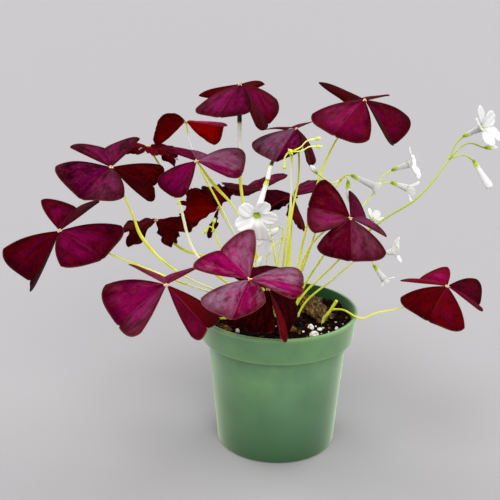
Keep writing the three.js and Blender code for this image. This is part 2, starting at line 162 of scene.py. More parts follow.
body = bmesh.new()
turn(body, [
    (0, 0.6), (33, 0.6), (34, 0), (40.5, 0, 1.6), (47, BAND_FOOT - 0.5, 0.3), (51.7, BAND_FOOT, 0.6),
    (53.3, POT_HEIGHT - 2.4, 0.3), (54, POT_HEIGHT - 1.7, 0.4), (54, POT_HEIGHT, 0.7),
    (51.7, POT_HEIGHT, 0.5), (50.1, BAND_FOOT + WALL, 1), (45.4, BAND_FOOT, 1), (38.9, 3.5), (37.4, 2),
    (0, 2),
], POT_SIDES)
pot = make("pot_shell", body)
pot.data.set_sharp_from_angle(angle=radians(40))

cutters = bmesh.new()
for hole in range(DRAINS):
    place = Matrix.Rotation(hole * 2 * pi / DRAINS, 4, "Z") @ Matrix.Translation((DRAIN_CIRCLE, 0, 0))
    bmesh.ops.create_cone(cutters, cap_ends=True, segments=40, radius1=DRAIN_RADIUS, radius2=DRAIN_RADIUS,
                          depth=8, matrix=place)
drains = make("drains", cutters)
cut = pot.modifiers.new("drain holes", "BOOLEAN")
cut.operation = "DIFFERENCE"
cut.object = drains
cut.solver = "EXACT"
bpy.context.view_layer.update()
holed = bpy.data.meshes.new_from_object(pot.evaluated_get(bpy.context.evaluated_depsgraph_get()))
pot.modifiers.clear()
pot.data = holed
bpy.data.objects.remove(drains)

# Injection-moulded polypropylene, dyed green: satin, with a faint orange peel. The dye is cloudy, with
# painted shade making it darker and greener low down and painted highlights along the lip and the band's
# foot, the band a little paler; the pot's foot is dusty, and painted shade makes the inner wall darker and
# greener.
plastic, tree, shader = new_finish("moulded_polypropylene", {
    "Roughness": 0.36, "IOR": 1.49, "Specular IOR Level": 0.7, "Sheen Weight": 0.75,
    "Sheen Roughness": 0.36, "Sheen Tint": linear("#dcf0cc"),
})
spot = add(tree, "TexCoord", {})["Object"]
height = add(tree, "SeparateXYZ", {"Vector": spot})["Z"]
clouds = add(tree, "TexNoise", {"Vector": spot, "Scale": 1 / 0.03, "Detail": 3, "Roughness": 0.55})["Fac"]
green = add(tree, "ValToRGB", {"Fac": clouds}, stops=[(0.3, "#4f7a50"), (0.7, "#699661")])["Color"]
drift = add(tree, "TexNoise", {"Vector": spot, "Scale": 1 / 0.055, "Detail": 1})["Fac"]
drift = add(tree, "MapRange", {"Value": drift, "From Min": 0.4, "From Max": 0.65, "To Max": 0.6})["Result"]
green = add(tree, "MixRGB", {"Fac": drift, "Color1": green, "Color2": linear("#5f8e70")})["Color"]
# Painted shade: the colour turns darker and greener towards the foot.
low = add(tree, "MapRange", {"Value": height, "From Min": 0.06, "From Max": 0.0})["Result"]
shaded = add(tree, "MixRGB", {"Fac": low, "Color1": green, "Color2": linear("#26542a")})["Color"]
# Painted highlights: pale lines along the band's foot and along the lip, and the whole band a little paler.
level = add(tree, "Math", {0: height, 1: POT_HEIGHT / 1000}, operation="DIVIDE")["Value"]
painted_highlights = add(tree, "ValToRGB", {"Fac": level}, stops=[
    (0.802, "#000000"), (1.0, "#c0c0c0"), (0.812, "#b0b0b0"), (0.825, "#646464"), (0.962, "#646464"),
    (0.985, "#c0c0c0")])["Color"]
shade_and_highlights = add(tree, "MixRGB", {"Fac": painted_highlights, "Color1": shaded, "Color2": linear("#7fae62")})["Color"]
radius = add(tree, "VectorMath", {0: spot, 1: (1, 1, 0)}, operation="MULTIPLY")["Vector"]
radius = add(tree, "VectorMath", {0: radius}, operation="LENGTH")["Value"]
# Painted shade on the inner wall above the band's foot: darker and greener there.
inner = add(tree, "Math", {0: height, 1: -0.0947, 2: radius}, operation="MULTIPLY_ADD")["Value"]
inner = add(tree, "MapRange", {"Value": inner, "From Min": 0.0437, "From Max": 0.0431})["Result"]
above = add(tree, "MapRange", {"Value": height, "From Min": 0.0785, "From Max": 0.0795})["Result"]
inner = add(tree, "Math", {0: inner, 1: above}, operation="MULTIPLY")["Value"]
shade_and_highlights = add(tree, "MixRGB", {"Fac": inner, "Color1": shade_and_highlights, "Color2": linear("#0c4a14")})["Color"]
dust = add(tree, "TexNoise", {"Vector": spot, "Scale": 1 / 0.004, "Detail": 5, "Roughness": 0.7})["Fac"]
foot = add(tree, "MapRange", {"Value": height, "From Min": 0.009, "From Max": 0.0})["Result"]
specks = add(tree, "Math", {0: dust, 1: foot}, operation="MULTIPLY")["Value"]
dirt = add(tree, "MapRange", {"Value": specks, "From Min": 0.42, "From Max": 0.6, "To Max": 0.7})["Result"]
streaks = add(tree, "Mapping", {"Vector": spot, "Scale": (260, 260, 28)})["Vector"]
grain = add(tree, "TexNoise", {"Vector": streaks, "Scale": 1, "Detail": 4})["Fac"]
peel = add(tree, "TexNoise", {"Vector": spot, "Scale": 1 / 0.0012, "Detail": 2})["Fac"]
feed(tree, shader, {
    "Base Color": add(tree, "MixRGB", {"Fac": dirt, "Color1": shade_and_highlights, "Color2": linear("#4a4326")})["Color"],
    "Roughness": add(tree, "MapRange", {"Value": grain, "To Min": 0.3, "To Max": 0.44})["Result"],
    "Normal": add(tree, "Bump", {"Height": peel, "Strength": 0.06, "Distance": 0.0003})["Normal"],
})
pot.data.materials.clear()
pot.data.materials.append(plastic)
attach(pot, "root")
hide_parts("pot")


# ---- Growing mix ----------------------------------------------------------------------------------------
# Peat, composted bark and perlite, poured in loose and settled by watering. It fills the pot to 9 mm below
# the rim, is heaped round the plant and at one wall, and is uneven to the size of its crumbs.

MIX_LEVEL = 86.5
MIX_EDGE = 50.4
MIX_GRID = 170


def mix_height(x, y):
    """The smooth height of the mix, without its crumbs."""
    bumps = sin(x / 7 + 1) * cos(y / 6) + 0.6 * sin(x / 3.1) * sin(y / 3.7 + 2)
    heap = 4 * exp(-((x - 46) ** 2 + (y - 20) ** 2) / 220)
    return MIX_LEVEL + 0.9 * bumps + 1.8 * exp(-(x * x + y * y) / 400) + heap


body = bmesh.new()
grid = bmesh.ops.create_grid(body, x_segments=MIX_GRID, y_segments=MIX_GRID, size=1)["verts"]
rim = [edge for edge in body.edges if edge.is_boundary]
for vert in grid:
    x, y = vert.co.xy
    vert.co.x = MIX_EDGE * x * (1 - y * y / 2) ** 0.5
    vert.co.y = MIX_EDGE * y * (1 - x * x / 2) ** 0.5
    x, y = vert.co.xy
    crumbs = noise.turbulence(Vector((x, y, 3)) / 2.6, 4, False, noise_basis="PERLIN_ORIGINAL")
    cracks = noise.noise(Vector((x, y, 40)) / 1.3)
    vert.co.z = mix_height(x, y) - 1.1 + 1.5 * crumbs + 0.45 * cracks
for radius, level in [(45.1, BAND_FOOT), (38.6, 4), (37.1, 2.3)]:
    walls = bmesh.ops.extrude_edge_only(body, edges=rim)["geom"]
    ring = [item for item in walls if isinstance(item, bmesh.types.BMVert)]
    rim = [item for item in walls if isinstance(item, bmesh.types.BMEdge)
           and item.verts[0] in ring and item.verts[1] in ring]
    for vert in ring:
        share = radius / hypot(vert.co.x, vert.co.y)
        vert.co = (vert.co.x * share, vert.co.y * share, level)
bmesh.ops.edgeloop_fill(body, edges=rim)
bmesh.ops.recalc_face_normals(body, faces=body.faces)
mix = make("growing_mix_bed", body)

# Moist peat with fines: nearly black in the hollows, reddish brown on the crumbs, and matt.
peat, tree, shader = new_finish("moist_peat", {"Roughness": 0.85, "Specular IOR Level": 0.04})
spot = add(tree, "TexCoord", {})["Object"]
crumbs = add(tree, "TexNoise", {"Vector": spot, "Scale": 1 / 0.0022, "Detail": 6, "Roughness": 0.7})["Fac"]
browns = add(tree, "ValToRGB", {"Fac": crumbs},
             stops=[(0.3, "#060302"), (0.78, "#4a2812"), (0.5, "#130904"), (0.64, "#241208")])["Color"]
feed(tree, shader, {
    "Base Color": browns,
    "Roughness": add(tree, "MapRange", {"Value": crumbs, "From Min": 0.35, "From Max": 0.7,
                                        "To Min": 0.55, "To Max": 0.95})["Result"],
    "Normal": add(tree, "Bump", {"Height": crumbs, "Strength": 0.8, "Distance": 0.0008})["Normal"],
})
mix.data.materials.append(peat)
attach(mix, "root")
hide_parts("growing_mix")


# ---- Crumbs and chips on the mix ------------------------------------------------------------------------
# Loose crumbs of peat and small chips of bark that lie on the mix, pressed a third of the way in.

CRUMBS = 520
CRUMB_REACH = 49.2


def scattered(rng, reach):
    """A random place on the mix, no further out than reach."""
    while True:
        x, y = rng.uniform(-reach, reach), rng.uniform(-reach, reach)
        if hypot(x, y) < reach:
            return x, y


# The larger clods: place, size and how light each is.
CLODS = [
    (36, 27, 3.6, 0.2), (41, 20, 3.4, 0.15), (33, 33, 3, 0.3), (45, 12, 2.6, 0.2), (40, 12, 1.7, 0.3),
    (43, 3, 2, 0.3), (10, -15, 2.6, 0.8), (14, -19, 1.8, 0.6), (-33, -20, 3.4, 0.75), (-38, -13, 2.8, 0.6),
    (-28, -28, 2.4, 0.7), (27.5, 37, 2.6, 0.2), (8, 42, 3, 0.3), (-20, 38, 3.2, 0.4), (-40, 12, 2.6, 0.3),
]
rng = random.Random(4)
body = bmesh.new()
tone = body.verts.layers.float.new("tone")
for crumb in range(CRUMBS):
    x, y = scattered(rng, CRUMB_REACH)
    size = rng.uniform(0.5, 1.4) if crumb % 7 else rng.uniform(1.6, 3.6)
    shape = Matrix.Diagonal((size, size * rng.uniform(0.5, 1), size * rng.uniform(0.3, 0.7), 1))
    place = Matrix.Translation((x, y, mix_height(x, y) + 0.1 * size))
    place = place @ Matrix.Rotation(rng.uniform(0, 6.3), 4, "Z") @ Matrix.Rotation(rng.gauss(0, 0.4), 4, "X")
    place = place @ shape
    chip = bmesh.ops.create_icosphere(body, subdivisions=1, radius=1, matrix=place)["verts"]
    shade = rng.random() ** 2.6
    for vert in chip:
        vert.co += Vector([rng.gauss(0, 0.12 * size) for axis in range(3)])
        vert[tone] = shade
for x, y, size, shade in CLODS:
    place = Matrix.Translation((x, y, mix_height(x, y) - 0.1 * size))
    clod = bmesh.ops.create_icosphere(body, subdivisions=3, radius=size, matrix=place)["verts"]
    for vert in clod:
        lumps = noise.noise(vert.co / (0.45 * size)) * 0.5 + noise.noise(vert.co * 1.4) * 0.25
        vert.co += (vert.co - place.translation) * lumps
        vert[tone] = shade + 0.3 * noise.noise(vert.co * 1.1)
crumbs = make("mix_crumbs", body)
crumbs.data.shade_flat()

# Crumbs from black peat to tan bark: each has its own shade, with a finer grain of its own.
crumb_finish, tree, shader = new_finish("peat_and_bark_crumbs", {
    "Roughness": 0.85, "Specular IOR Level": 0.04,
})
spot = add(tree, "TexCoord", {})["Object"]
shade = add(tree, "Attribute", {}, attribute_name="tone")["Fac"]
grain = add(tree, "TexNoise", {"Vector": spot, "Scale": 1 / 0.0008, "Detail": 3})["Fac"]
mixed = add(tree, "Math", {0: grain, 1: 0.35, 2: shade}, operation="MULTIPLY_ADD")["Value"]
feed(tree, shader, {
    "Base Color": add(tree, "ValToRGB", {"Fac": mixed}, stops=[
        (0.12, "#0a0402"), (1.2, "#86602f"), (0.6, "#2a1409"), (0.9, "#523016")])["Color"],
    "Normal": add(tree, "Bump", {"Height": grain, "Strength": 0.6, "Distance": 0.0004})["Normal"],
})
crumbs.data.materials.append(crumb_finish)
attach(crumbs, "root")


# ---- Perlite --------------------------------------------------------------------------------------------
# Grains of expanded volcanic glass, 1 to 6 mm, that float up when the pot is watered and lie on the mix.
# The largest have places of their own, and the rest lie at random.

PERLITE = [
    (21.8, -14.9, 3.0), (23.9, -27, 3.2), (39.1, -13, 1.8), (30.4, -13.5, 1.0), (17.2, -20.1, 1.0),
    (33.9, -19.2, 0.8), (9.3, 9.7, 1.2), (29.8, 35.4, 1.8), (3.2, -20.9, 0.8), (-0.8, -12.8, 0.7),
    (31, 3, 1.6), (38, 22, 1.0), (11.5, 8.5, 0.8), (-38, -14, 1.5), (29, -23, 0.7), (44, -6, 0.7),
]
# The grains at random: how many, how far out, and from what size to what size.
STRAY_PERLITE = [(20, 48, 0.35, 0.9), (6, 46, 1, 2.2)]
rng = random.Random(11)
body = bmesh.new()
grains = PERLITE + [(*scattered(rng, reach), rng.uniform(least, most))
                    for count, reach, least, most in STRAY_PERLITE for grain in range(count)]
for x, y, size in grains:
    shape = Matrix.Diagonal((size, size * rng.uniform(0.65, 0.9), size * rng.uniform(0.6, 0.8), 1))
    place = (Matrix.Translation((x, y, mix_height(x, y) + 0.25 * size))
             @ Matrix.Rotation(rng.uniform(0, 6.3), 4, "Z") @ shape)
    fineness = 4 if size > 1.5 else 2
    grain = bmesh.ops.create_icosphere(body, subdivisions=fineness, radius=1, matrix=place)["verts"]
    for vert in grain:
        facets = noise.cell_vector(vert.co / (0.8 * size)) * 0.27 * size
        pits = noise.noise(vert.co * 1.9) * 0.16 * size
        vert.co += facets + (vert.co - place.translation).normalized() * pits
bmesh.ops.smooth_vert(body, verts=body.verts, factor=0.4, use_axis_x=True, use_axis_y=True, use_axis_z=True)
perlite = make("perlite_grains", body)

# Perlite: chalky white glass foam, pitted with burst bubbles, with a little brown water stain.
foam, tree, shader = new_finish("expanded_perlite", {"Roughness": 0.75, "Specular IOR Level": 0.4})
spot = add(tree, "TexCoord", {})["Object"]
stain_and_painted_light = add(tree, "TexNoise", {"Vector": spot, "Scale": 1 / 0.0025, "Detail": 4})["Fac"]
bubbles = add(tree, "TexVoronoi", {"Vector": spot, "Scale": 1 / 0.0006})["Distance"]
feed(tree, shader, {
    "Base Color": add(tree, "ValToRGB", {"Fac": stain_and_painted_light}, stops=[(0.34, "#b49a72"), (0.5, "#f4f1e8")])["Color"],
    "Normal": add(tree, "Bump", {"Height": bubbles, "Strength": 0.5, "Distance": 0.0003})["Normal"],
})
perlite.data.materials.append(foam)
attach(perlite, "root")


# ---- Bark chunk -----------------------------------------------------------------------------------------
# A piece of composted bark, torn along its fibres, half sunk in the mix behind the cut stem.

BARK_SIZE = (15, 28, 12)
BARK_CUTS = 27
BARK_TURN = radians(22)

body = bmesh.new()
bmesh.ops.create_cube(body, size=1)
bmesh.ops.subdivide_edges(body, edges=body.edges, cuts=BARK_CUTS, use_grid_fill=True)
for vert in body.verts:
    x, y, z = (share * size for share, size in zip(vert.co, BARK_SIZE))
    end = 2 * abs(vert.co.y)
    bundle = noise.cell(Vector((x * 0.4 + y * 0.03, 0, z * 0.4)))
    rough = 1 - 0.58 * end ** 2.4 + 0.45 * noise.noise(Vector((x, y, z)) * 0.13)
    corners = 1 - 0.16 * (2 * abs(vert.co.x)) ** 4 * (2 * abs(vert.co.z)) ** 4
    fibres = 1.4 * bundle + noise.noise(Vector((x * 0.8, y * 0.2, z * 0.8))) * 1.6
    fibres += noise.noise(Vector((x * 1.8, y * 0.7, z * 1.8))) * 0.9
    out = Vector((x, 0, z)).normalized() * fibres if x or z else Vector()
    frayed = (bundle + noise.noise(Vector((x, 5, z)))) * 3 * end ** 2
    vert.co = Vector((x * rough * corners, y + (frayed if y > 0 else -frayed), z * rough * corners)) + out
place = (Matrix.Translation((26, 17, 87.2)) @ Matrix.Rotation(BARK_TURN, 4, "Z")
         @ Matrix.Rotation(radians(7), 4, "X"))
bmesh.ops.transform(body, matrix=place, verts=body.verts)
bark = make("bark_piece", body)

# Composted bark: tan to dark brown fibres, a millimetre wide, matt, ridged along its length, damp in places.
bark_finish, tree, shader = new_finish("composted_bark", {"Roughness": 0.9, "Specular IOR Level": 0.3})
spot = add(tree, "TexCoord", {})["Object"]
along = add(tree, "Mapping", {
    "Vector": spot, "Rotation": (0, 0, -BARK_TURN), "Scale": (800, 190, 800)})["Vector"]
fibres = add(tree, "TexNoise", {"Vector": along, "Scale": 1, "Detail": 5, "Roughness": 0.65})["Fac"]
tans = add(tree, "ValToRGB", {"Fac": fibres}, stops=[
    (0.3, "#22130a"), (0.72, "#b4966a"), (0.44, "#5a3c1c"), (0.56, "#8e6c3e")])["Color"]
damp = add(tree, "TexNoise", {"Vector": spot, "Scale": 1 / 0.006, "Detail": 3})["Fac"]
damp = add(tree, "MapRange", {
    "Value": damp, "From Min": 0.38, "From Max": 0.62, "To Min": 0.3, "To Max": 1.1})["Result"]
feed(tree, shader, {
    "Base Color": add(tree, "VectorMath", {0: tans, "Scale": damp}, operation="SCALE")["Vector"],
    "Normal": add(tree, "Bump", {"Height": fibres, "Strength": 0.9, "Distance": 0.001})["Normal"],
})
bark.data.materials.append(bark_finish)
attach(bark, "root")
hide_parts("bark_chunk")


# ---- Leaf stems -----------------------------------------------------------------------------------------
# Each leaf has one watery, hairless stem. It grows from a rhizome in the mix, leans out under its leaf's
# weight and ends in a swollen knot, where its three leaflets are hinged.

# Each leaf: its hub, where its stem leaves the mix, the points that the stem bends through, and its three
# leaflets, with heading, dip and roll, length, and how far the left and right half fold down from level.
LEAVES = [
    ((-27, 10, 245), (-3, 6), [(-25, 8, 172), (-27, 10, 210), (-27, 10, 228)],
     [(242, 25, -3, 30, -9, 7), (356, 45, 28, 32, 1, -19), (105, 16, -10, 33, -11, -8)]),
    ((-66, 50, 213), (-5, 13), [(-38, 35, 150), (-62, 48, 195)],
     [(208, 2, 53, 24, 8, 8), (18, 0, -75, 26, -1, 74), (85, 3, 0, 22, 8, 8)]),
    ((-108, -10, 194), (-11, 3), [(-68, -3, 122), (-90, -6, 146), (-95, -7, 160)],
     [(250, 11, -17, 36, -16, -20), (341, 15, 54, 30, 34, 72), (108, -20, -7, 34, -17, -12)]),
    ((-141, -20, 154), (-13, -2), [(-70, -8, 118), (-108, -14, 136)],
     [(252, 40, -66, 38, 53, 9), (324, 9, 22, 38, -6, -18), (82, -24, -10, 31, -30, -14)]),
    ((-53, -14, 200), (-7, 1), [(-28, -6, 165), (-43, -11, 185)],
     [(215, 42, -11, 27, -24, -7), (354, 5, 21, 30, -10, -23), (105, -13, -3, 29, -9, 25)]),
    ((10, 5, 218), (4, 3), [(8, 3, 160), (12, 5, 188)],
     [(236, 27, -3, 29, -26, -13), (344, 56, 8, 26, 13, -19), (106, 2, -4, 26, -3, -8)]),
    ((52, 0, 238), (8, 3), [(18, 1, 153), (31, 0, 203)],
     [(224, 29, -19, 32, -5, 2), (341, 45, 25, 34, -3, -36), (101, 4, 7, 37, -23, -15)]),
    ((45, -20, 166), (9, -3), [(14, -6, 125), (27, -16, 154)],
     [(189, -21, -55, 28, -18, -13), (270, 31, -3, 31, -1, -7), (56, 6, 46, 29, -5, -17)]),
    ((111, -10, 118), (33, 3), [(42, -8, 99), (56, -15, 96), (64, -14, 99), (82, -12, 103)],
     [(241, 18, -15, 32, 4, -4), (358, 21, 20, 26, -14, -23), (123, -2, -8, 29, -14, -7)]),
    ((-17, -70, 142), (-3, -8), [(-18, -26, 103), (-30, -48, 116), (-20, -66, 130)],
     [(251, 20, -2, 31, -29, -12), (358, -3, 8, 32, 1, -8), (133, -26, -30, 33, -18, -13)]),
    ((-69, -50, 130), (-10, -6), [(-40, -32, 101), (-61, -38, 112)],
     [(205, 29, -24, 39, -25, -14), (331, 35, 45, 37, 58, 70), (103, 2, -20, 35, -43, 8)]),
    ((-6, -50, 128.5), (2, -7), [(-2, -24, 104)],
     [(228, 30, 9, 30, 8, 8), (1, 56, -28, 30, -54, 35), (110, -24, 0, 26, 8, 8)]),
    ((-44, 60, 148), (-1, 17), [(-30, 44, 130)],
     [(178, -10, 66, 26, 8, 8), (231, 44, 46, 20, 8, 8), (110, -38, 0, 24, 8, 8)]),
    ((-88, 50, 141), (-8, 9), [(-42, 28, 118), (-73, 45, 124)],
     [(186, 15, -16, 25, 8, 8), (326, 4, 23, 24, 8, 8), (80, 8, 0, 22, 8, 8)]),
    ((-13, 84, 156), (2, 20), [(-4, 52, 122)],
     [(200, -20, 0, 28, 8, 8), (320, 5, 10, 24, 8, 8), (85, -21, -20, 24, 8, 8)]),
    ((9, 50, 161), (7, 17), [(8, 36, 122)],
     [(300, 42, -45, 24, 8, 8), (30, -30, -4, 24, 8, 8), (150, 20, 0, 20, 8, 8)]),
    ((-91, 40, 197), (-12, 8), [(-56, 16, 127), (-71, 28, 166)],
     [(195, -12, 0, 21, 8, 8), (290, -6, -6, 17, 8, 8), (20, 10, 13, 20, 8, 8)]),
]
# How much thicker than usual a stem is at each of its bends: some swell where they take the leaf's weight.
SWOLLEN = {
    1: (1.45, 2.2, 2.4), 3: (1.0, 1.9, 1.3), 5: (1.0, 1.7), 7: (1.2, 1.05), 14: (1.1, 1.5), 17: (1.35, 1.6),
}
# Painted light on the stems, where a stem isn't yellow-green: the middle of each mark, its reach, and its
# strength, above nought for a pale painted highlight and below for a purple painted shadow under a leaf.
PAINTED_STEM_LIGHT = [
    ((-27, 10, 210.5), 11, 1.4), ((-27, 10, 226.5), 7, -1.8), ((-7, -9.5, 191), 6, 1.4),
    ((-3.6, -7.4, 201), 6, -1.8), ((7, -16, 186), 20, 0.8), ((-61.5, 47.5, 194), 12, 1.2),
    ((-60, 19, 140), 26, 0.7), ((-31, 44, 131), 26, 0.6), ((108, -10, 115), 16, 0.6),
    ((-50, -5, 100), 18, 0.5),
]
# How high a stem is rooted in the mix, and where it comes out of it.
ROOTED = 80.5
RISE = 89.5
# A stem's radius at those two heights, at its first bend and at its hub. Each later bend is a step thinner.
FOOT_RADII = [0.84, 0.8]
BEND_RADIUS = 0.68
BEND_STEP = 0.05
HUB_RADIUS = 0.5


def strand(body, points, radii, material=0, steps=10):
    """Adds a round, tapering stem on a smooth line through points."""
    line = bpy.data.curves.new("strand", "CURVE")
    line.dimensions = "3D"
    line.bevel_depth = 1
    line.bevel_resolution = 4
    line.resolution_u = steps
    line.use_fill_caps = True
    spline = line.splines.new("BEZIER")
    spline.bezier_points.add(len(points) - 1)
    spline.radius_interpolation = "CARDINAL"
    for knot, point, radius in zip(spline.bezier_points, points, radii):
        knot.co = point
        knot.radius = radius
    for knot in spline.bezier_points:
        knot.handle_left_type = knot.handle_right_type = "AUTO"
    holder = bpy.data.objects.new("strand", line)
    mesh = bpy.data.meshes.new_from_object(holder)
    known = set(body.faces)
    body.from_mesh(mesh)
    for face in body.faces:
        if face not in known:
            face.material_index = material
    bpy.data.objects.remove(holder)
    bpy.data.curves.remove(line)
    bpy.data.meshes.remove(mesh)


def leaflet_turn(heading, dip, roll):
    """How a leaflet that points along X turns to its heading and droops and rolls."""
    return (Matrix.Rotation(radians(heading), 3, "Z") @ Matrix.Rotation(radians(dip), 3, "Y")
            @ Matrix.Rotation(radians(roll), 3, "X"))


def stain_and_painted_light(body):
    """Marks how much pale painted highlight or purple painted shadow a stem has at each of its points."""
    tone = body.verts.layers.float.new("tone")
    for vert in body.verts:
        for middle, reach, strength in PAINTED_STEM_LIGHT:
            vert[tone] += strength * max(0, min(1, 4 - 4 * (vert.co - Vector(middle)).length / reach))


# Living stem: watery tissue under a thin smooth skin, so light sinks in. It is yellow-green, limier where it
# is young, pale where a painted highlight lies on it and purple where a painted shadow does.
stem_finish, tree, shader = new_finish("living_stem", {
    "Roughness": 0.42, "IOR": 1.4, "Subsurface Weight": 0.6, "Subsurface Scale": 0.0015,
    "Subsurface Radius": (1.0, 1.0, 0.3), "Specular IOR Level": 0.45,
})
spot = add(tree, "TexCoord", {})["Object"]
long = add(tree, "Mapping", {"Vector": spot, "Scale": (60, 60, 22)})["Vector"]
patches = add(tree, "TexNoise", {"Vector": long, "Scale": 1, "Detail": 3})["Fac"]
fresh = add(tree, "ValToRGB", {"Fac": patches}, stops=[
    (0.3, "#cad426"), (0.7, "#f6f8a4"), (0.5, "#eaee4a")])["Color"]
# Tone is painted light here: above nought a pale painted highlight, below a purple painted shadow.
tone = add(tree, "Attribute", {}, attribute_name="tone")["Fac"]
painted_highlit = add(tree, "MixRGB", {"Fac": tone, "Color1": fresh, "Color2": linear("#fafaf2")})["Color"]
dark = add(tree, "Math", {0: tone, 1: -1}, operation="MULTIPLY")["Value"]
highlit_and_shadowed = add(tree, "MixRGB", {"Fac": dark, "Color1": painted_highlit, "Color2": linear("#32101c")})["Color"]
lime = add(tree, "Attribute", {}, attribute_name="lime")["Fac"]
ribs = add(tree, "Mapping", {"Vector": spot, "Scale": (2500, 2500, 120)})["Vector"]
ribs = add(tree, "TexNoise", {"Vector": ribs, "Scale": 1})["Fac"]
feed(tree, shader, {
    "Base Color": add(tree, "MixRGB", {"Fac": lime, "Color1": highlit_and_shadowed, "Color2": linear("#a0b81c")})["Color"],
    "Normal": add(tree, "Bump", {"Height": ribs, "Strength": 0.25, "Distance": 0.0002})["Normal"],
})

# The knot at the hub: the same tissue, swollen, pale orange-yellow and a little rougher.
knot_finish, tree, shader = new_finish("stem_knot", {
    "Roughness": 0.5, "IOR": 1.4, "Subsurface Weight": 0.3, "Subsurface Scale": 0.001,
    "Subsurface Radius": (1.0, 0.8, 0.4),
})
spot = add(tree, "TexCoord", {})["Object"]
patches = add(tree, "TexNoise", {"Vector": spot, "Scale": 1 / 0.0012, "Detail": 3})["Fac"]
feed(tree, shader, {
    "Base Color": add(tree, "ValToRGB", {"Fac": patches}, stops=[
        (0.35, "#c08a40"), (0.65, "#f0d890")])["Color"],
})

for number, (hub, (x, y), bends, leaflets) in enumerate(LEAVES, 1):
    points = [Vector(point) for point in [(x, y, ROOTED), (x, y, RISE), *bends, hub]]
    swelling = SWOLLEN.get(number, (1,) * len(bends))
    radii = [(BEND_RADIUS - BEND_STEP * place) * swollen for place, swollen in enumerate(swelling)]
    body = bmesh.new()
    strand(body, points, FOOT_RADII + radii + [HUB_RADIUS])
    below, end = points[-2:]
    strand(body, [end + (below - end).normalized() * 2.4, end], (0.52, 0.72), 1, 2)
    for heading, dip, roll, *size in leaflets:
        along = leaflet_turn(heading, dip, roll) @ Vector((1, 0, 0))
        strand(body, [end, end + along * 1.7], (0.68, 0.4), 1, 3)
    stain_and_painted_light(body)
    stem = make(f"stem_{number:02}", body, stem_finish, knot_finish)
    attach(stem, "root")
    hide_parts(f"leaf_stem_{number:02}")

body = bmesh.new()
strand(body, [(31, -4, ROOTED), (31, -4, RISE), (34, -8, 96), (39, -10, 106)], (1.1, 1.05, 1, 1.1))
stain_and_painted_light(body)
cut_stem = make("stem_cut_short", body, stem_finish)
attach(cut_stem, "root")
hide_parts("cut_stem")


# ---- Leaf blades ----------------------------------------------------------------------------------------
# Three leaflets to a leaf, each a thin triangle with a notched end, creased along its midrib and hinged by
# its point on the stem's knot. They are 0.3 mm thick, purple on top and wine red underneath.

LEAFLET_COLUMNS = 32
LEAFLET_ROWS = 26
# How near to the hub a leaflet starts, as a share of its length.
LEAFLET_FOOT = 0.045
BLADE_THICKNESS = 0.3
# How torn and crumpled a leaf is.
RAGGED = {2: 0.1, 12: 0.15, 13: 1.0, 14: 0.8, 15: 0.25, 16: 0.25, 17: 1.0}
# How each leaf's three leaflets look: how light the leaflet is, painted light and shade, how much lighter its
# left half is than that, a painted highlight on one half, and how red it is and how much painted sheen it
# has.
# Leaves low in the plant lie in shade and are painted nearly black.
LEAFLET_COLOUR_AND_PAINTED_LIGHT = {
    1: [(0.62, -0.18, 0.1, 0.1), (0.56, 0.16, 0.5, 0), (0.85, 0.0, 0.4, 0)],
    2: [(0.66, -0.05, 1, 0), (1.6, -0.1, 0.1, 0), (1.2, 0.0, 1, 0)],
    3: [(0.5, 0.12, 0, 0.2), (0.45, -0.15, 1.0, 0), (0.55, 0.0, 0.2, 0.1)],
    4: [(0.48, -0.05, 0.7, 0), (0.65, 0.0, 0.3, 0), (0.5, 0.15, 0.5, 0)],
    5: [(0.65, 0.0, 0.2, 0), (1.0, 0.2, 0, 0.7), (0.8, -0.3, 0.2, 0.5)],
    6: [(0.62, -0.2, 0, 0.75), (0.45, 0.0, 0.8, 0), (0.7, 0.0, 0.3, 0.2)],
    7: [(0.82, -0.13, 0.4, 0.1), (0.42, 0.15, 0.6, 0), (0.55, 0.0, 0.6, 0)],
    8: [(0.75, 0.18, 0.5, 0.2), (0.62, 0.16, 0.5, 0.3), (0.7, -0.2, 0.2, 0.3)],
    9: [(0.58, 0.1, 0.8, 0), (0.52, -0.17, 0.5, 0), (1.1, -0.2, 0.5, 0)],
    10: [(1.12, -0.16, 0.18, 1), (1.3, 0.15, 0, 0.9), (1.35, -0.14, 0.1, 0.55)],
    11: [(0.88, 0.12, 0.2, 0.2), (1.5, -0.7, 0.2, 0), (1.05, 0.1, 0.3, 0.3)],
    12: [(0.22, 0.0, 1, 0), (0.66, -0.44, 1.1, 0), (0.4, 0.0, 0.6, 0)],
    13: [(0.85, -0.2, 1, 0), (0.4, 0.0, 1, 0), (0.5, -0.25, 1, 0)],
    14: [(0.42, -0.1, 1, 0.1), (0.38, 0.08, 1, 0), (0.5, 0.0, 1, 0)],
    15: [(0.38, 0.0, 0.6, 0.1), (0.22, 0.0, 0.6, 0), (0.6, -0.1, 0.4, 0.2)],
    16: [(0.6, 0.0, 0.8, 0), (0.7, 0.0, 0.3, 0.2), (0.5, 0.0, 0.6, 0)],
    17: [(0.55, 0.0, 0.8, 0), (0.7, 0.0, 0.8, 0), (0.5, 0.0, 0.8, 0)],
}


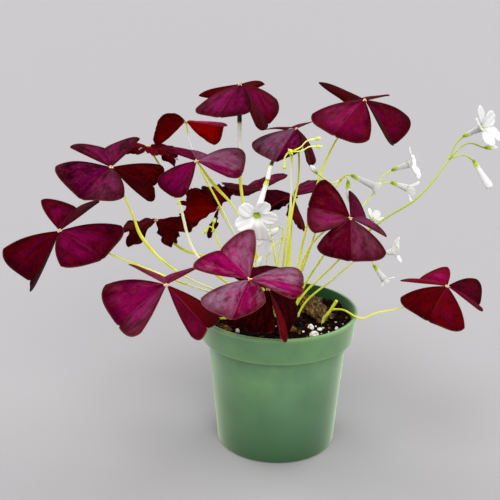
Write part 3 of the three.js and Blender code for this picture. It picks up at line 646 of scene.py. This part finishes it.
def leaflet_point(along, across, length, folds, wave, phase):
    """A point of a leaflet that points along X. Along runs from hub to end, across from -1 to 1."""
    share = abs(across)
    side = 1 if across > 0 else -1
    fold = radians(folds[0] if across > 0 else folds[1])
    torn = noise.noise(Vector((3.6 * across, phase, 0)))
    torn += 0.3 * noise.noise(Vector((9 * across, phase, 0)))
    ragged = 1 + wave * 0.3 * along * torn
    spread = radians(52 - 10 * along ** 2) * (1 + wave * 0.3 * noise.noise(Vector((5 * along, phase, side))))
    corner = (1 - 0.22 * share ** 4.5) / cos(radians(42) * share) - 0.03 * exp(-share / 0.04)
    reach = length * along * corner * ragged
    angle = spread * share
    x, y = reach * cos(angle), reach * sin(angle)
    swell = 0.045 * length * along * (1 - (2 * share - 1) ** 2)
    ripple = (0.012 + 0.05 * wave) * length * along * share
    ripple *= sin(5 * along + 7 * share + phase * (2 + side))
    crumple = noise.noise(Vector((2.5 * along, 2.5 * across, phase)))
    crumple += 0.5 * noise.noise(Vector((6 * along, 6 * across, phase)))
    crumple *= wave * 0.16 * length * along
    z = swell + ripple + crumple - y * sin(fold) - 0.2 * x * x / length
    return Vector((x, side * y * cos(fold), z))


def leaf_finish(name, colours, depth_of_relief):
    """Leaf skin, read along a leaflet's own map: U runs from hub to end, V from margin to margin."""
    wine, purple, magenta, crimson, painted_sheen, margin, outline = (linear(code) for code in colours)
    material, tree, shader = new_finish(name, {"Roughness": 0.5, "IOR": 1.42, "Specular IOR Level": 0.006})
    place = add(tree, "UVMap", {}, uv_map="leaflet")["UV"]
    along, across = add(tree, "SeparateXYZ", {"Vector": place})[:2]
    own = add(tree, "Attribute", {}, attribute_name="own")["Vector"]
    # Tint is the leaflet's painted light and shade, half its half's painted highlight, and turned that
    # highlight on this half.
    seed, tint, half = add(tree, "SeparateXYZ", {"Vector": own})
    dyes_and_sheen = add(tree, "Attribute", {}, attribute_name="dyes_and_sheen")["Vector"]
    # Most is how much painted sheen the leaflet has.
    red, most = add(tree, "SeparateXYZ", {"Vector": dyes_and_sheen})[:2]
    off = add(tree, "Math", {0: across, 1: 2, 2: -1}, operation="MULTIPLY_ADD")["Value"]
    off = add(tree, "Math", {0: off}, operation="ABSOLUTE")["Value"]
    side = add(tree, "MapRange", {"Value": across, "From Min": 0.49, "From Max": 0.51,
                                  "To Min": -1.0, "To Max": 1.0})["Result"]
    turned = add(tree, "Math", {0: side, 1: half}, operation="MULTIPLY")["Value"]
    start = add(tree, "Math", {0: side, 1: 3, 2: seed}, operation="MULTIPLY_ADD")["Value"]
    field = add(tree, "CombineXYZ", {"X": along, "Y": off, "Z": start})["Vector"]
    blots = add(tree, "TexNoise", {"Vector": field, "Scale": 2.6, "Detail": 4, "Roughness": 0.55})["Fac"]
    shift = add(tree, "VectorMath", {0: field, 1: (7, 3, 5)})["Vector"]
    other = add(tree, "TexNoise", {"Vector": shift, "Scale": 4.2, "Detail": 6, "Roughness": 0.62})["Fac"]

    # Each half is wine red to purple, with a bright magenta patch that frays outwards, smaller on the half
    # with the painted highlight, and some leaves are crimson all over, less so on that half.
    purples = add(tree, "MapRange", {"Value": other, "From Min": 0.38, "From Max": 0.58})["Result"]
    away = add(tree, "VectorMath", {0: field, 1: (0.6, 0.6, 0)}, operation="MULTIPLY")["Vector"]
    away = add(tree, "VectorMath", {0: away, 1: (0.31, 0.18, 0)}, operation="DISTANCE")["Value"]
    patch = add(tree, "Math", {0: blots, 1: -2.0, 2: away}, operation="MULTIPLY_ADD")["Value"]
    patch = add(tree, "Math", {0: turned, 1: 0.7, 2: patch}, operation="MULTIPLY_ADD")["Value"]
    patch = add(tree, "MapRange", {"Value": patch, "From Min": -0.58, "From Max": -1.02})["Result"]
    red = add(tree, "Math", {0: other, 1: 1.4, 2: red}, operation="MULTIPLY_ADD")["Value"]
    red = add(tree, "Math", {0: turned, 1: -1.0, 2: red}, operation="MULTIPLY_ADD")["Value"]
    red = add(tree, "MapRange", {"Value": red, "From Min": 0.8, "From Max": 1.55})["Result"]

    # A greyish painted sheen lies on it in clouds, more of it on the half with the painted highlight.
    clouds = add(tree, "Math", {0: off, 1: 0.16, 2: other}, operation="MULTIPLY_ADD")["Value"]
    clouds = add(tree, "Math", {0: turned, 1: 0.7, 2: clouds}, operation="MULTIPLY_ADD")["Value"]
    clouds = add(tree, "MapRange", {"Value": clouds, "From Min": 0.46, "From Max": 0.74})["Result"]
    clouds = add(tree, "Math", {0: clouds, 1: most}, operation="MULTIPLY")["Value"]

    # The margin is darker, its own colour deepened by painted shade where it arches away, with a hair-thin
    # pale edge, and the midrib shows near the hub.
    outer = add(tree, "Math", {0: off, 1: along}, operation="MAXIMUM")["Value"]
    rim = add(tree, "Math", {0: blots, 1: 0.35, 2: outer}, operation="MULTIPLY_ADD")["Value"]
    rim = add(tree, "MapRange", {"Value": rim, "From Min": 0.95, "From Max": 1.16, "To Max": 0.8})["Result"]
    midrib = add(tree, "MapRange", {"Value": off, "From Min": 0.035, "From Max": 0.01})["Result"]
    fade = add(tree, "MapRange", {"Value": along, "From Min": 0.9, "From Max": 0, "To Max": 0.5})["Result"]
    midrib = add(tree, "Math", {0: midrib, 1: fade}, operation="MULTIPLY")["Value"]
    edge = add(tree, "MapRange", {
        "Value": outer, "From Min": 0.97, "From Max": 0.995, "To Max": 0.5})["Result"]
    lines = add(tree, "Math", {0: midrib, 1: edge}, operation="MAXIMUM")["Value"]

    # The colours lie over each other in that order.
    skin = wine
    for share, colour in [(purples, purple), (patch, magenta), (red, crimson), (clouds, painted_sheen), (rim, margin),
                          (lines, outline)]:
        skin = add(tree, "MixRGB", {"Fac": share, "Color1": skin, "Color2": colour})["Color"]

    # Fine streaks fan out from the hub, the skin is crinkled between them, and each half has its own depth:
    # painted light and shade from the leaflet's lightness and its half's painted highlight.
    fan = add(tree, "Mapping", {"Vector": field, "Scale": (2.4, 26, 1)})["Vector"]
    streaks = add(tree, "TexNoise", {"Vector": fan, "Scale": 1, "Detail": 3})["Fac"]
    crinkle = add(tree, "TexNoise", {"Vector": field, "Scale": 17, "Detail": 4, "Roughness": 0.6})["Fac"]
    depth = add(tree, "Math", {0: turned, 1: tint})["Value"]
    for pattern, weight in [(streaks, 0.5), (other, 1.1), (crinkle, 1.1)]:
        depth = add(tree, "Math", {0: pattern, 1: weight, 2: depth}, operation="MULTIPLY_ADD")["Value"]
    depth = add(tree, "Math", {0: depth, 1: -1.35})["Value"]
    depth = add(tree, "Math", {0: depth, 1: 0.08}, operation="MAXIMUM")["Value"]
    relief = add(tree, "Math", {0: crinkle, 1: 1.0, 2: streaks}, operation="MULTIPLY_ADD")["Value"]
    relief = add(tree, "Bump", {"Height": relief, "Strength": depth_of_relief, "Distance": 0.0006})["Normal"]
    feed(tree, shader, {
        "Base Color": add(tree, "VectorMath", {0: skin, "Scale": depth}, operation="SCALE")["Vector"],
        "Normal": relief,
    })
    return material


# The top skin: purple cell sap under a velvety cuticle, so it hardly shines, with a faint grey painted sheen.
leaf_top = leaf_finish("leaf_top_skin", [
    "#4a0214", "#5a0428", "#880450", "#660208", "#704c60", "#420206", "#7c4448"], 0.45)

# The underside: wine red to scarlet all over, the scarlet a painted glow of light shining through the leaf,
# with no grey in its painted sheen.
leaf_back = leaf_finish("leaf_underside", [
    "#780003", "#900002", "#b40404", "#8c0202", "#600206", "#580001", "#9a1818"], 0.5)

rng = random.Random(23)
for number, (hub, foot, bends, leaflets) in enumerate(LEAVES, 1):
    body = bmesh.new()
    body.loops.layers.uv.new("leaflet")
    own = body.verts.layers.float_vector.new("own")
    dyes_and_sheen = body.verts.layers.float_vector.new("dyes_and_sheen")
    for (heading, dip, roll, length, *folds), (light, half_painted_light, red, painted_sheen) in zip(leaflets, LEAFLET_COLOUR_AND_PAINTED_LIGHT[number]):
        phase = rng.uniform(0, 20)
        place = leaflet_turn(heading, dip, roll)
        grid = bmesh.ops.create_grid(body, x_segments=LEAFLET_ROWS, y_segments=LEAFLET_COLUMNS, size=1,
                                     calc_uvs=True)["verts"]
        for vert in grid:
            along = LEAFLET_FOOT + (1 - LEAFLET_FOOT) * (vert.co.x + 1) / 2
            point = leaflet_point(along, vert.co.y, length, folds, RAGGED.get(number, 0), phase)
            vert.co = Vector(hub) + place @ point
            # Own holds the leaflet's painted light and shade and its half's painted highlight.
            vert[own] = (phase, light, half_painted_light)
            # The leaflet's red and its amount of painted sheen.
            vert[dyes_and_sheen] = (red, painted_sheen, 0)
    blade = make(f"blade_{number:02}", body, leaf_top, leaf_back)
    skin = blade.modifiers.new("thickness", "SOLIDIFY")
    skin.thickness = BLADE_THICKNESS / 1000
    skin.offset = -1
    skin.material_offset = 1
    skin.material_offset_rim = 1
    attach(blade, "root")
    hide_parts(f"leaf_blade_{number:02}")


# ---- Flower stalks --------------------------------------------------------------------------------------
# Leafless stalks that carry the flowers above the leaves. Each ends in a node, where thin pedicels part,
# and each pedicel in a calyx of five green sepals. A calyx stays when its flower has dropped.

STALKS = {
    "right": ((11, 9), [(39, 5, 128), (66, 10, 154), (92, 6, 175), (110, 10, 199)], {
        "flower_right": [(113, 9, 209), (117, 8, 214)],
        "bud_right": [(120, 9, 209), (131, 7, 207)],
        "bud_hanging": [(119, 10, 201), (125, 10, 198)]}),
    "middle": ((12, 14), [(32, 18, 130), (57, 20, 164), (65, 20, 176)], {
        "flower_upper": [(69, 20, 184), (74, 20, 188)],
        "flower_lower": [(69, 20, 179), (74, 20, 179.5)]}),
    "behind": ((8, 11), [(20, 14, 130), (33, 15, 170), (40, 15, 182)], {
        "flower_side": [(43, 15, 185), (47, 16, 185)],
        "bud_drooping": [(43.5, 16, 184), (45, 17, 181)],
        "bud_nodding": [(34, 5, 182.5), (29, -4.5, 187), (23, -10, 192.5)]}),
    "centre": ((1, 9), [(4, 0, 138), (7, -3, 172), (7, -5, 205)], {
        "flower_front": [(1, -6, 206), (-5, -8, 199), (-8, -10, 188)]}),
    "front": ((7, -7), [(7, -8, 140), (7, -18, 185), (6, -26, 209.5)], {
        "spent_left": [(2.8, -26, 206.5), (2.5, -26, 201)],
        "spent_upper": [(12, -26, 212.5), (16, -26, 216.5), (21, -25, 217.5)],
        "spent_right": [(13, -26.5, 210.5), (17.5, -26.5, 213), (22, -26, 213)]}),
    "low": ((-1, 0), [(-2, -2, 115), (2, -2, 146)], {
        "flower_low": [(2, -4, 154), (0, -7, 155)],
        "bud_low": [(-6, -5, 138), (-12, -10, 122), (-15, -13, 126)]}),
    "spent": ((-6.5, -3), [(-25, -12, 118), (-38, -16, 145), (-42, -16, 155)], {
        "spent_low": [(-44.5, -16, 157.5), (-46.7, -16, 155)],
        "spent_high": [(-42.5, -16, 158), (-42, -16, 160)]}),
    "side": ((15, 8), [(40, 11, 116), (61, 20, 132)], {
        "flower_pale": [(60, 21, 143), (61, 22, 150)],
        "flower_edge": [(66, 21, 131), (70, 21, 129)],
        "flower_tube": [(63, 18, 128), (65, 17, 122)]}),
}
# Each flower: its throat, petal length, how far the petals open from its axis, how it is turned on it, and
# how white it is, lower for painted shade on flowers that get less light.
FLOWERS = {
    "flower_right": ((127, 2, 221), 15, 62, 20, 0.72),
    "flower_upper": ((85, 17, 193), 12, 62, 0, 0.88),
    "flower_lower": ((85, 17, 176.5), 9, 38, 30, 0.88),
    "flower_side": ((62, 14, 178.5), 6, 30, 0, 0.9),
    "flower_front": ((-14.6, -30, 168.6), 14.5, 76, -9, 1),
    "flower_low": ((-5, -17, 154), 14, 62, 20, 0.96),
    "flower_pale": ((63, 21, 154), 8, 45, 0, 0.9),
    "flower_edge": ((78, 20, 131), 11, 50, 10, 0.86),
    "flower_tube": ((73, 14, 112), 6, 55, 0, 0.9),
}
# How far a flower's face is turned towards the front from where its tube points.
TILTED = {"flower_front": 30, "flower_low": -40, "flower_right": 9}
# Each bud: its tip.
BUDS = {
    "bud_right": (139, 4, 208), "bud_hanging": (137, 6, 180), "bud_drooping": (46, 18, 166),
    "bud_nodding": (18.5, -16, 199), "bud_low": (-11, -14, 138),
}
# The front flower's pedicel is swollen where it nods.
PEDICEL_RADII = {"flower_front": (0.5, 0.5, 1.15, 1.5)}
SEPALS = 5
SEPAL_LENGTH = 5.6
BRACTS = 6
# The profile of the cup that the sepals grow from.
CALYX_CUP = [(0, -0.6), (0.55, -0.4), (1.05, 0.5), (1.25, 1.4), (1.1, 1.9), (0, 1.9)]
# How much smaller a calyx is, and how much yellower its foot, when its flower has dropped.
DROPPED_SIZE = 0.55
DROPPED_RISE = 0.6


def upright_to(start, end):
    """The turn and move that take the Z axis from the origin onto a line from start to end."""
    return Matrix.Translation(start) @ (end - start).to_track_quat("Z", "Y").to_matrix().to_4x4()


def paint(verts, material):
    """Gives the faces round vertices a material of their piece, by its number."""
    for vert in verts:
        for face in vert.link_faces:
            face.material_index = material


# Sepals: waxy, green at the foot, yellower and then nearly white at the tip. They hug the flower's tube.
sepal_finish, tree, shader = new_finish("sepal", {
    "Roughness": 0.4, "IOR": 1.42, "Subsurface Weight": 0.2, "Subsurface Scale": 0.001,
})
spot = add(tree, "TexCoord", {})["Object"]
patches = add(tree, "TexNoise", {"Vector": spot, "Scale": 1 / 0.0015, "Detail": 3})["Fac"]
rise = add(tree, "Attribute", {}, attribute_name="rise")["Fac"]
rise = add(tree, "Math", {0: patches, 1: 0.3, 2: rise}, operation="MULTIPLY_ADD")["Value"]
feed(tree, shader, {
    "Base Color": add(tree, "ValToRGB", {"Fac": rise}, stops=[
        (0.1, "#84a204"), (1.15, "#eef2c4"), (0.45, "#b4cc0c"), (0.85, "#d4e24c")])["Color"],
})

seats = {}
for name, ((x, y), points, pedicels) in STALKS.items():
    body = bmesh.new()
    rise = body.verts.layers.float.new("rise")
    lime = body.verts.layers.float.new("lime")
    line = [Vector(point) for point in [(x, y, ROOTED), (x, y, RISE), *points]]
    taper = [0.92 - 0.42 * place / (len(line) - 1) for place in range(len(line))]
    strand(body, line, taper)
    node = line[-1]
    swell = 1.7 if name == "front" else 1
    bmesh.ops.create_uvsphere(body, u_segments=16, v_segments=10, radius=swell,
                              matrix=Matrix.Translation(node))
    for bract in range(BRACTS):
        out = Vector((cos(1.05 * bract), sin(1.05 * bract), 0.5 * (-1) ** bract)).normalized()
        strand(body, [node, node + out * 1.9 * swell], (0.5 * swell, 0.16), 0, 2)
    for flower, bends in pedicels.items():
        path = [node] + [Vector(point) for point in bends]
        strand(body, path, PEDICEL_RADII.get(flower, [0.5] + [0.42] * (len(path) - 2) + [0.6]))
        seat = path[-1]
        aim = Vector(FLOWERS[flower][0] if flower in FLOWERS else BUDS.get(flower, 2 * seat - path[-2]))
        seats[flower] = (seat, aim)
        foot = upright_to(seat, aim)
        cup = turn(body, CALYX_CUP, 20)
        bmesh.ops.transform(body, matrix=foot, verts=cup)
        paint(cup, 1)
        kept = flower in FLOWERS or flower in BUDS
        small = 1 if kept else DROPPED_SIZE
        for vert in cup:
            vert[rise] = 0 if kept else DROPPED_RISE
        for sepal in range(SEPALS):
            grid = bmesh.ops.create_grid(body, x_segments=8, y_segments=6, size=1)["verts"]
            for vert in grid:
                along = (vert.co.x + 1) / 2
                width = 0.95 * sin(pi * (0.12 + 0.88 * along)) ** 0.8
                out = (1.18 + 0.55 * sin(pi * 0.5 * along) - 0.25 * vert.co.y ** 2) * small
                wrap = vert.co.y * width / 1.5
                vert.co = (out * cos(wrap), out * sin(wrap), 0.5 + SEPAL_LENGTH * small * along)
                vert[rise] = along if kept else DROPPED_RISE + 0.3 * along
            paint(grid, 1)
            around = foot @ Matrix.Rotation(sepal * 2 * pi / SEPALS, 4, "Z")
            bmesh.ops.transform(body, matrix=around, verts=grid)
    # Stalks are a little limier than leaf stems, and the right one much limier beyond its first bend.
    for vert in body.verts:
        vert[lime] = 0.75 if name == "right" and vert.co.x > 40 else 0.1
    stain_and_painted_light(body)
    stalk = make(f"flower_stalk_{name}", body, stem_finish, sepal_finish)
    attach(stalk, "root")
    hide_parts(f"stalk_{name}")


# ---- Flowers --------------------------------------------------------------------------------------------
# White corollas: five petals that join in a tube, which stands in the calyx. The petals overlap in a
# pinwheel and curl back at their ends. Five short yellow-green stamens fill the green throat.

PETALS = 5
PETAL_THICKNESS = 0.22
STAMENS = 5
ANTHER_RADIUS = 0.34
# The radius of the tube at its foot and at the throat, and how far up the calyx it starts.
TUBE_START = 1.2
THROAT = 2.7
SEATED = 1.6
# How a petal leans from the flower's axis where it leaves the tube.
FIRST_LEAN = radians(14)


def petal_point(along, across, length, opening):
    """A point of a petal that starts at the tube's mouth, in the flower's own frame, its axis on Z."""
    steps = 12
    radius, height = THROAT * 0.72, -1.6
    for step in range(steps):
        way = along * (step + 0.5) / steps
        lean = FIRST_LEAN + (radians(opening) * 1.12 - FIRST_LEAN) * min(1, way / 0.42) ** 1.3
        radius += length * along / steps * sin(lean)
        height += length * along / steps * cos(lean)
    broad = min(1, along / 0.62)
    half = length * (0.12 + 0.23 * broad * broad * (3 - 2 * broad))
    back = 0.32 * length * (1 - (1 - 0.97 * across * across) ** 0.5) * along ** 2.5
    radius -= back * sin(lean)
    height -= back * cos(lean)
    cup = 0.22 * length * across * across * along * (1 - along) + 0.05 * across * length * along
    wave = 0.02 * length * along * sin(9 * across + 4 * along)
    turned = across * half / max(radius, 0.9)
    flat = Vector((radius, across * half, height))
    tube = Vector((radius * cos(turned), radius * sin(turned), height))
    share = min(1, along / 0.3)
    return tube.lerp(flat, share) + Vector((-cos(lean), 0, sin(lean))) * (cup + wave)


# Petals: white, thin and watery, so they glow and show faint veins. They are green in the throat.
petal_finish, tree, shader = new_finish("petal_tissue", {
    "Roughness": 0.5, "IOR": 1.36, "Subsurface Weight": 0.35, "Subsurface Scale": 0.002,
    "Subsurface Radius": (1.0, 1.0, 0.9), "Sheen Weight": 0.1,
})
place = add(tree, "UVMap", {}, uv_map="petal")["UV"]
along = add(tree, "SeparateXYZ", {"Vector": place})["X"]
fan = add(tree, "Mapping", {"Vector": place, "Scale": (2, 30, 1)})["Vector"]
veins = add(tree, "TexNoise", {"Vector": fan, "Scale": 1, "Detail": 2})["Fac"]
white = add(tree, "ValToRGB", {"Fac": veins}, stops=[(0.3, "#f0f1ee"), (0.6, "#fdfdfc")])["Color"]
# The white attribute greys a flower's petals: painted shade, deeper on flowers that get less light.
own = add(tree, "Attribute", {}, attribute_name="white")["Fac"]
white = add(tree, "VectorMath", {0: white, "Scale": own}, operation="SCALE")["Vector"]
green = add(tree, "ValToRGB", {"Fac": along}, stops=[
    (0.0, "#b8cc30"), (1.0, "#ffffff"), (0.08, "#ffffff"), (0.31, "#ffffff"), (0.335, "#b4cc40"),
    (0.4, "#e4eeb4"), (0.48, "#ffffff")])["Color"]
feed(tree, shader, {
    "Base Color": add(tree, "MixRGB", {"Fac": 1.0, "Color1": white, "Color2": green},
                      blend_type="MULTIPLY")["Color"],
    "Normal": add(tree, "Bump", {"Height": veins, "Strength": 0.3, "Distance": 0.0003})["Normal"],
})

# The throat and the stamens: matt yellow-green.
throat_finish, tree, shader = new_finish("flower_throat", {"Roughness": 0.6, "IOR": 1.4})
spot = add(tree, "TexCoord", {})["Object"]
pollen = add(tree, "TexNoise", {"Vector": spot, "Scale": 1 / 0.0006, "Detail": 3})["Fac"]
feed(tree, shader, {
    "Base Color": add(tree, "ValToRGB", {"Fac": pollen}, stops=[
        (0.35, "#a4c41c"), (0.65, "#d4e858")])["Color"],
})

rng = random.Random(7)
for name, (throat, length, opening, turned, shaded_whiteness) in FLOWERS.items():
    seat, aim = seats[name]
    start = seat + (aim - seat).normalized() * SEATED
    place = upright_to(start, aim)
    depth = (aim - start).length
    hinge = Vector((0, 0, 1)).cross(place.to_3x3().inverted() @ Vector((0, -1, 0)))
    tilt = (Matrix.Translation((0, 0, depth - 3)) @ Matrix.Rotation(radians(TILTED.get(name, 0)), 4, hinge)
            @ Matrix.Translation((0, 0, 3 - depth)))
    body = bmesh.new()
    chart = body.loops.layers.uv.new("petal")
    white = body.verts.layers.float.new("white")
    tube = turn(body, [(0, 0), (TUBE_START * 0.9, 0), (TUBE_START * 1.25, depth * 0.35),
                       (TUBE_START * 1.6, depth * 0.65), (THROAT * 0.86, depth - 0.8),
                       (THROAT * 0.8, depth - 0.8), (THROAT * 0.5, depth - 1.8), (0, depth - 2)], 30)
    for vert in tube:
        for loop in vert.link_loops:
            loop[chart].uv = (0.02 + 0.28 * vert.co.z / depth, 0.5 + 0.2 * vert.co.x)
    for face in body.faces:
        if all(vert.co.z > depth - 2.6 and hypot(*vert.co.xy) < THROAT * 0.83 for vert in face.verts):
            face.material_index = 1
    for vert in tube:
        share = max(0, min(1, (vert.co.z - depth + 8) / 5))
        vert.co = vert.co.lerp(tilt @ vert.co, share * share * (3 - 2 * share))
    for petal in range(PETALS):
        own_length, own_opening = length * rng.uniform(0.9, 1.06), opening + rng.gauss(0, 6)
        # One petal of the front flower is longer than its others.
        if (name, petal) == ("flower_front", 4):
            own_length *= 1.3
        grid = bmesh.ops.create_grid(body, x_segments=16, y_segments=12, size=1, calc_uvs=True)["verts"]
        around = (tilt @ Matrix.Translation((0, 0, depth))
                  @ Matrix.Rotation(petal * 2 * pi / PETALS + radians(turned) + rng.gauss(0, 0.07), 4, "Z")
                  @ Matrix.Rotation(rng.gauss(0, 0.12), 4, "X"))
        for vert in grid:
            along = (vert.co.x + 1) / 2
            for loop in vert.link_loops:
                loop[chart].uv = (0.34 + 0.66 * along, vert.co.y * 0.4 + petal)
            vert.co = around @ petal_point(along, vert.co.y, own_length, own_opening)
    for stamen in range(STAMENS):
        angle = stamen * 2 * pi / STAMENS + 0.4
        foot = tilt @ Vector((0.5 * cos(angle), 0.5 * sin(angle), depth - 2.1))
        end = tilt @ Vector((0.8 * cos(angle), 0.8 * sin(angle), depth + 0.2))
        strand(body, [foot, end], (0.14, 0.12), 1, 2)
        anther = bmesh.ops.create_icosphere(body, subdivisions=2, radius=ANTHER_RADIUS,
                                            matrix=Matrix.Translation(end))["verts"]
        paint(anther, 1)
    for vert in body.verts:
        vert[white] = shaded_whiteness
    bmesh.ops.transform(body, matrix=place, verts=body.verts)
    flower = make(name + "_corolla", body, petal_finish, throat_finish)
    skin = flower.modifiers.new("thickness", "SOLIDIFY")
    skin.thickness = PETAL_THICKNESS / 1000
    skin.offset = 0
    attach(flower, "root")
    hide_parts(name)


# ---- Buds -----------------------------------------------------------------------------------------------
# Corollas that haven't opened yet: five petals rolled round each other in a blunt white spindle. The hanging
# one is older, and widest at its end.

BUD_STEPS = 14
BUD_WHITENESS = 0.92

for name in BUDS:
    seat, aim = seats[name]
    start = seat + (aim - seat).normalized() * SEATED
    depth = (aim - start).length
    body = bmesh.new()
    chart = body.loops.layers.uv.new("petal")
    white = body.verts.layers.float.new("white")
    shares = [step / BUD_STEPS for step in range(BUD_STEPS)]
    if name == "bud_hanging":
        radii = [(1.2 + 2 * share ** 1.4) * (1.01 - share ** 12) ** 0.5 for share in shares]
    else:
        radii = [2 * sin(pi * (0.13 + 0.8 * share)) ** 0.75 * (0.62 + 0.4 * share) * (1.02 - share ** 6)
                 for share in shares]
    spindle = turn(body, [(0, 0)] + [(radius, depth * share) for radius, share in zip(radii, shares)]
                   + [(0, depth)], 40)
    for vert in spindle:
        share = vert.co.z / depth
        angle = Vector((vert.co.x, vert.co.y)).angle_signed(Vector((1, 0)), 0)
        rolled = 1 + 0.1 * share * ((PETALS * angle + PETALS * share) % (2 * pi) / (2 * pi) - 0.5)
        for loop in vert.link_loops:
            loop[chart].uv = (0.02 + 0.27 * share, angle)
        vert[white] = BUD_WHITENESS
        vert.co.x *= rolled
        vert.co.y *= rolled
    bmesh.ops.transform(body, matrix=upright_to(start, aim), verts=body.verts)
    bud = make(name + "_corolla", body, petal_finish)
    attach(bud, "root")
    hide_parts(name)


# ---- Studio ---------------------------------------------------------------------------------------------
# A plain pale floor and soft light: a bright room, with a broad light from each side, one from above and one
# from beside the camera.

FLOOR_REACH = 15000

body = bmesh.new()
bmesh.ops.create_grid(body, x_segments=1, y_segments=1, size=FLOOR_REACH)
floor_finish, tree, shader = new_finish("pale_floor", {
    "Base Color": linear("#a09e9f"), "Roughness": 0.9, "Specular IOR Level": 0.1,
})
floor = make("floor", body, floor_finish)
floor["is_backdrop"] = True

world = bpy.data.worlds.new("studio")
world.use_nodes = True
world.node_tree.nodes["Background"].inputs["Color"].default_value = linear("#f4f5f8")
world.node_tree.nodes["Background"].inputs["Strength"].default_value = 0.6
scene.world = world

# Each light: how many degrees it is turned and raised, its strength, and how many degrees wide it is.
LIGHTS = {
    "from_left": ((-125, 30), 1.4, 50), "from_right": ((128, 30), 1.7, 50),
    "from_above": ((-25, 62), 1.5, 40), "from_camera": ((14, 34), 1.3, 30),
}
for name, ((turned, raised), strength, width) in LIGHTS.items():
    light = bpy.data.lights.new(name, "SUN")
    light.energy = strength
    light.angle = radians(width)
    lamp = bpy.data.objects.new(name, light)
    lamp.matrix_world = (Matrix.Rotation(radians(turned), 4, "Z")
                         @ Matrix.Rotation(radians(90 - raised), 4, "X"))
    scene.collection.objects.link(lamp)

low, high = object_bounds()
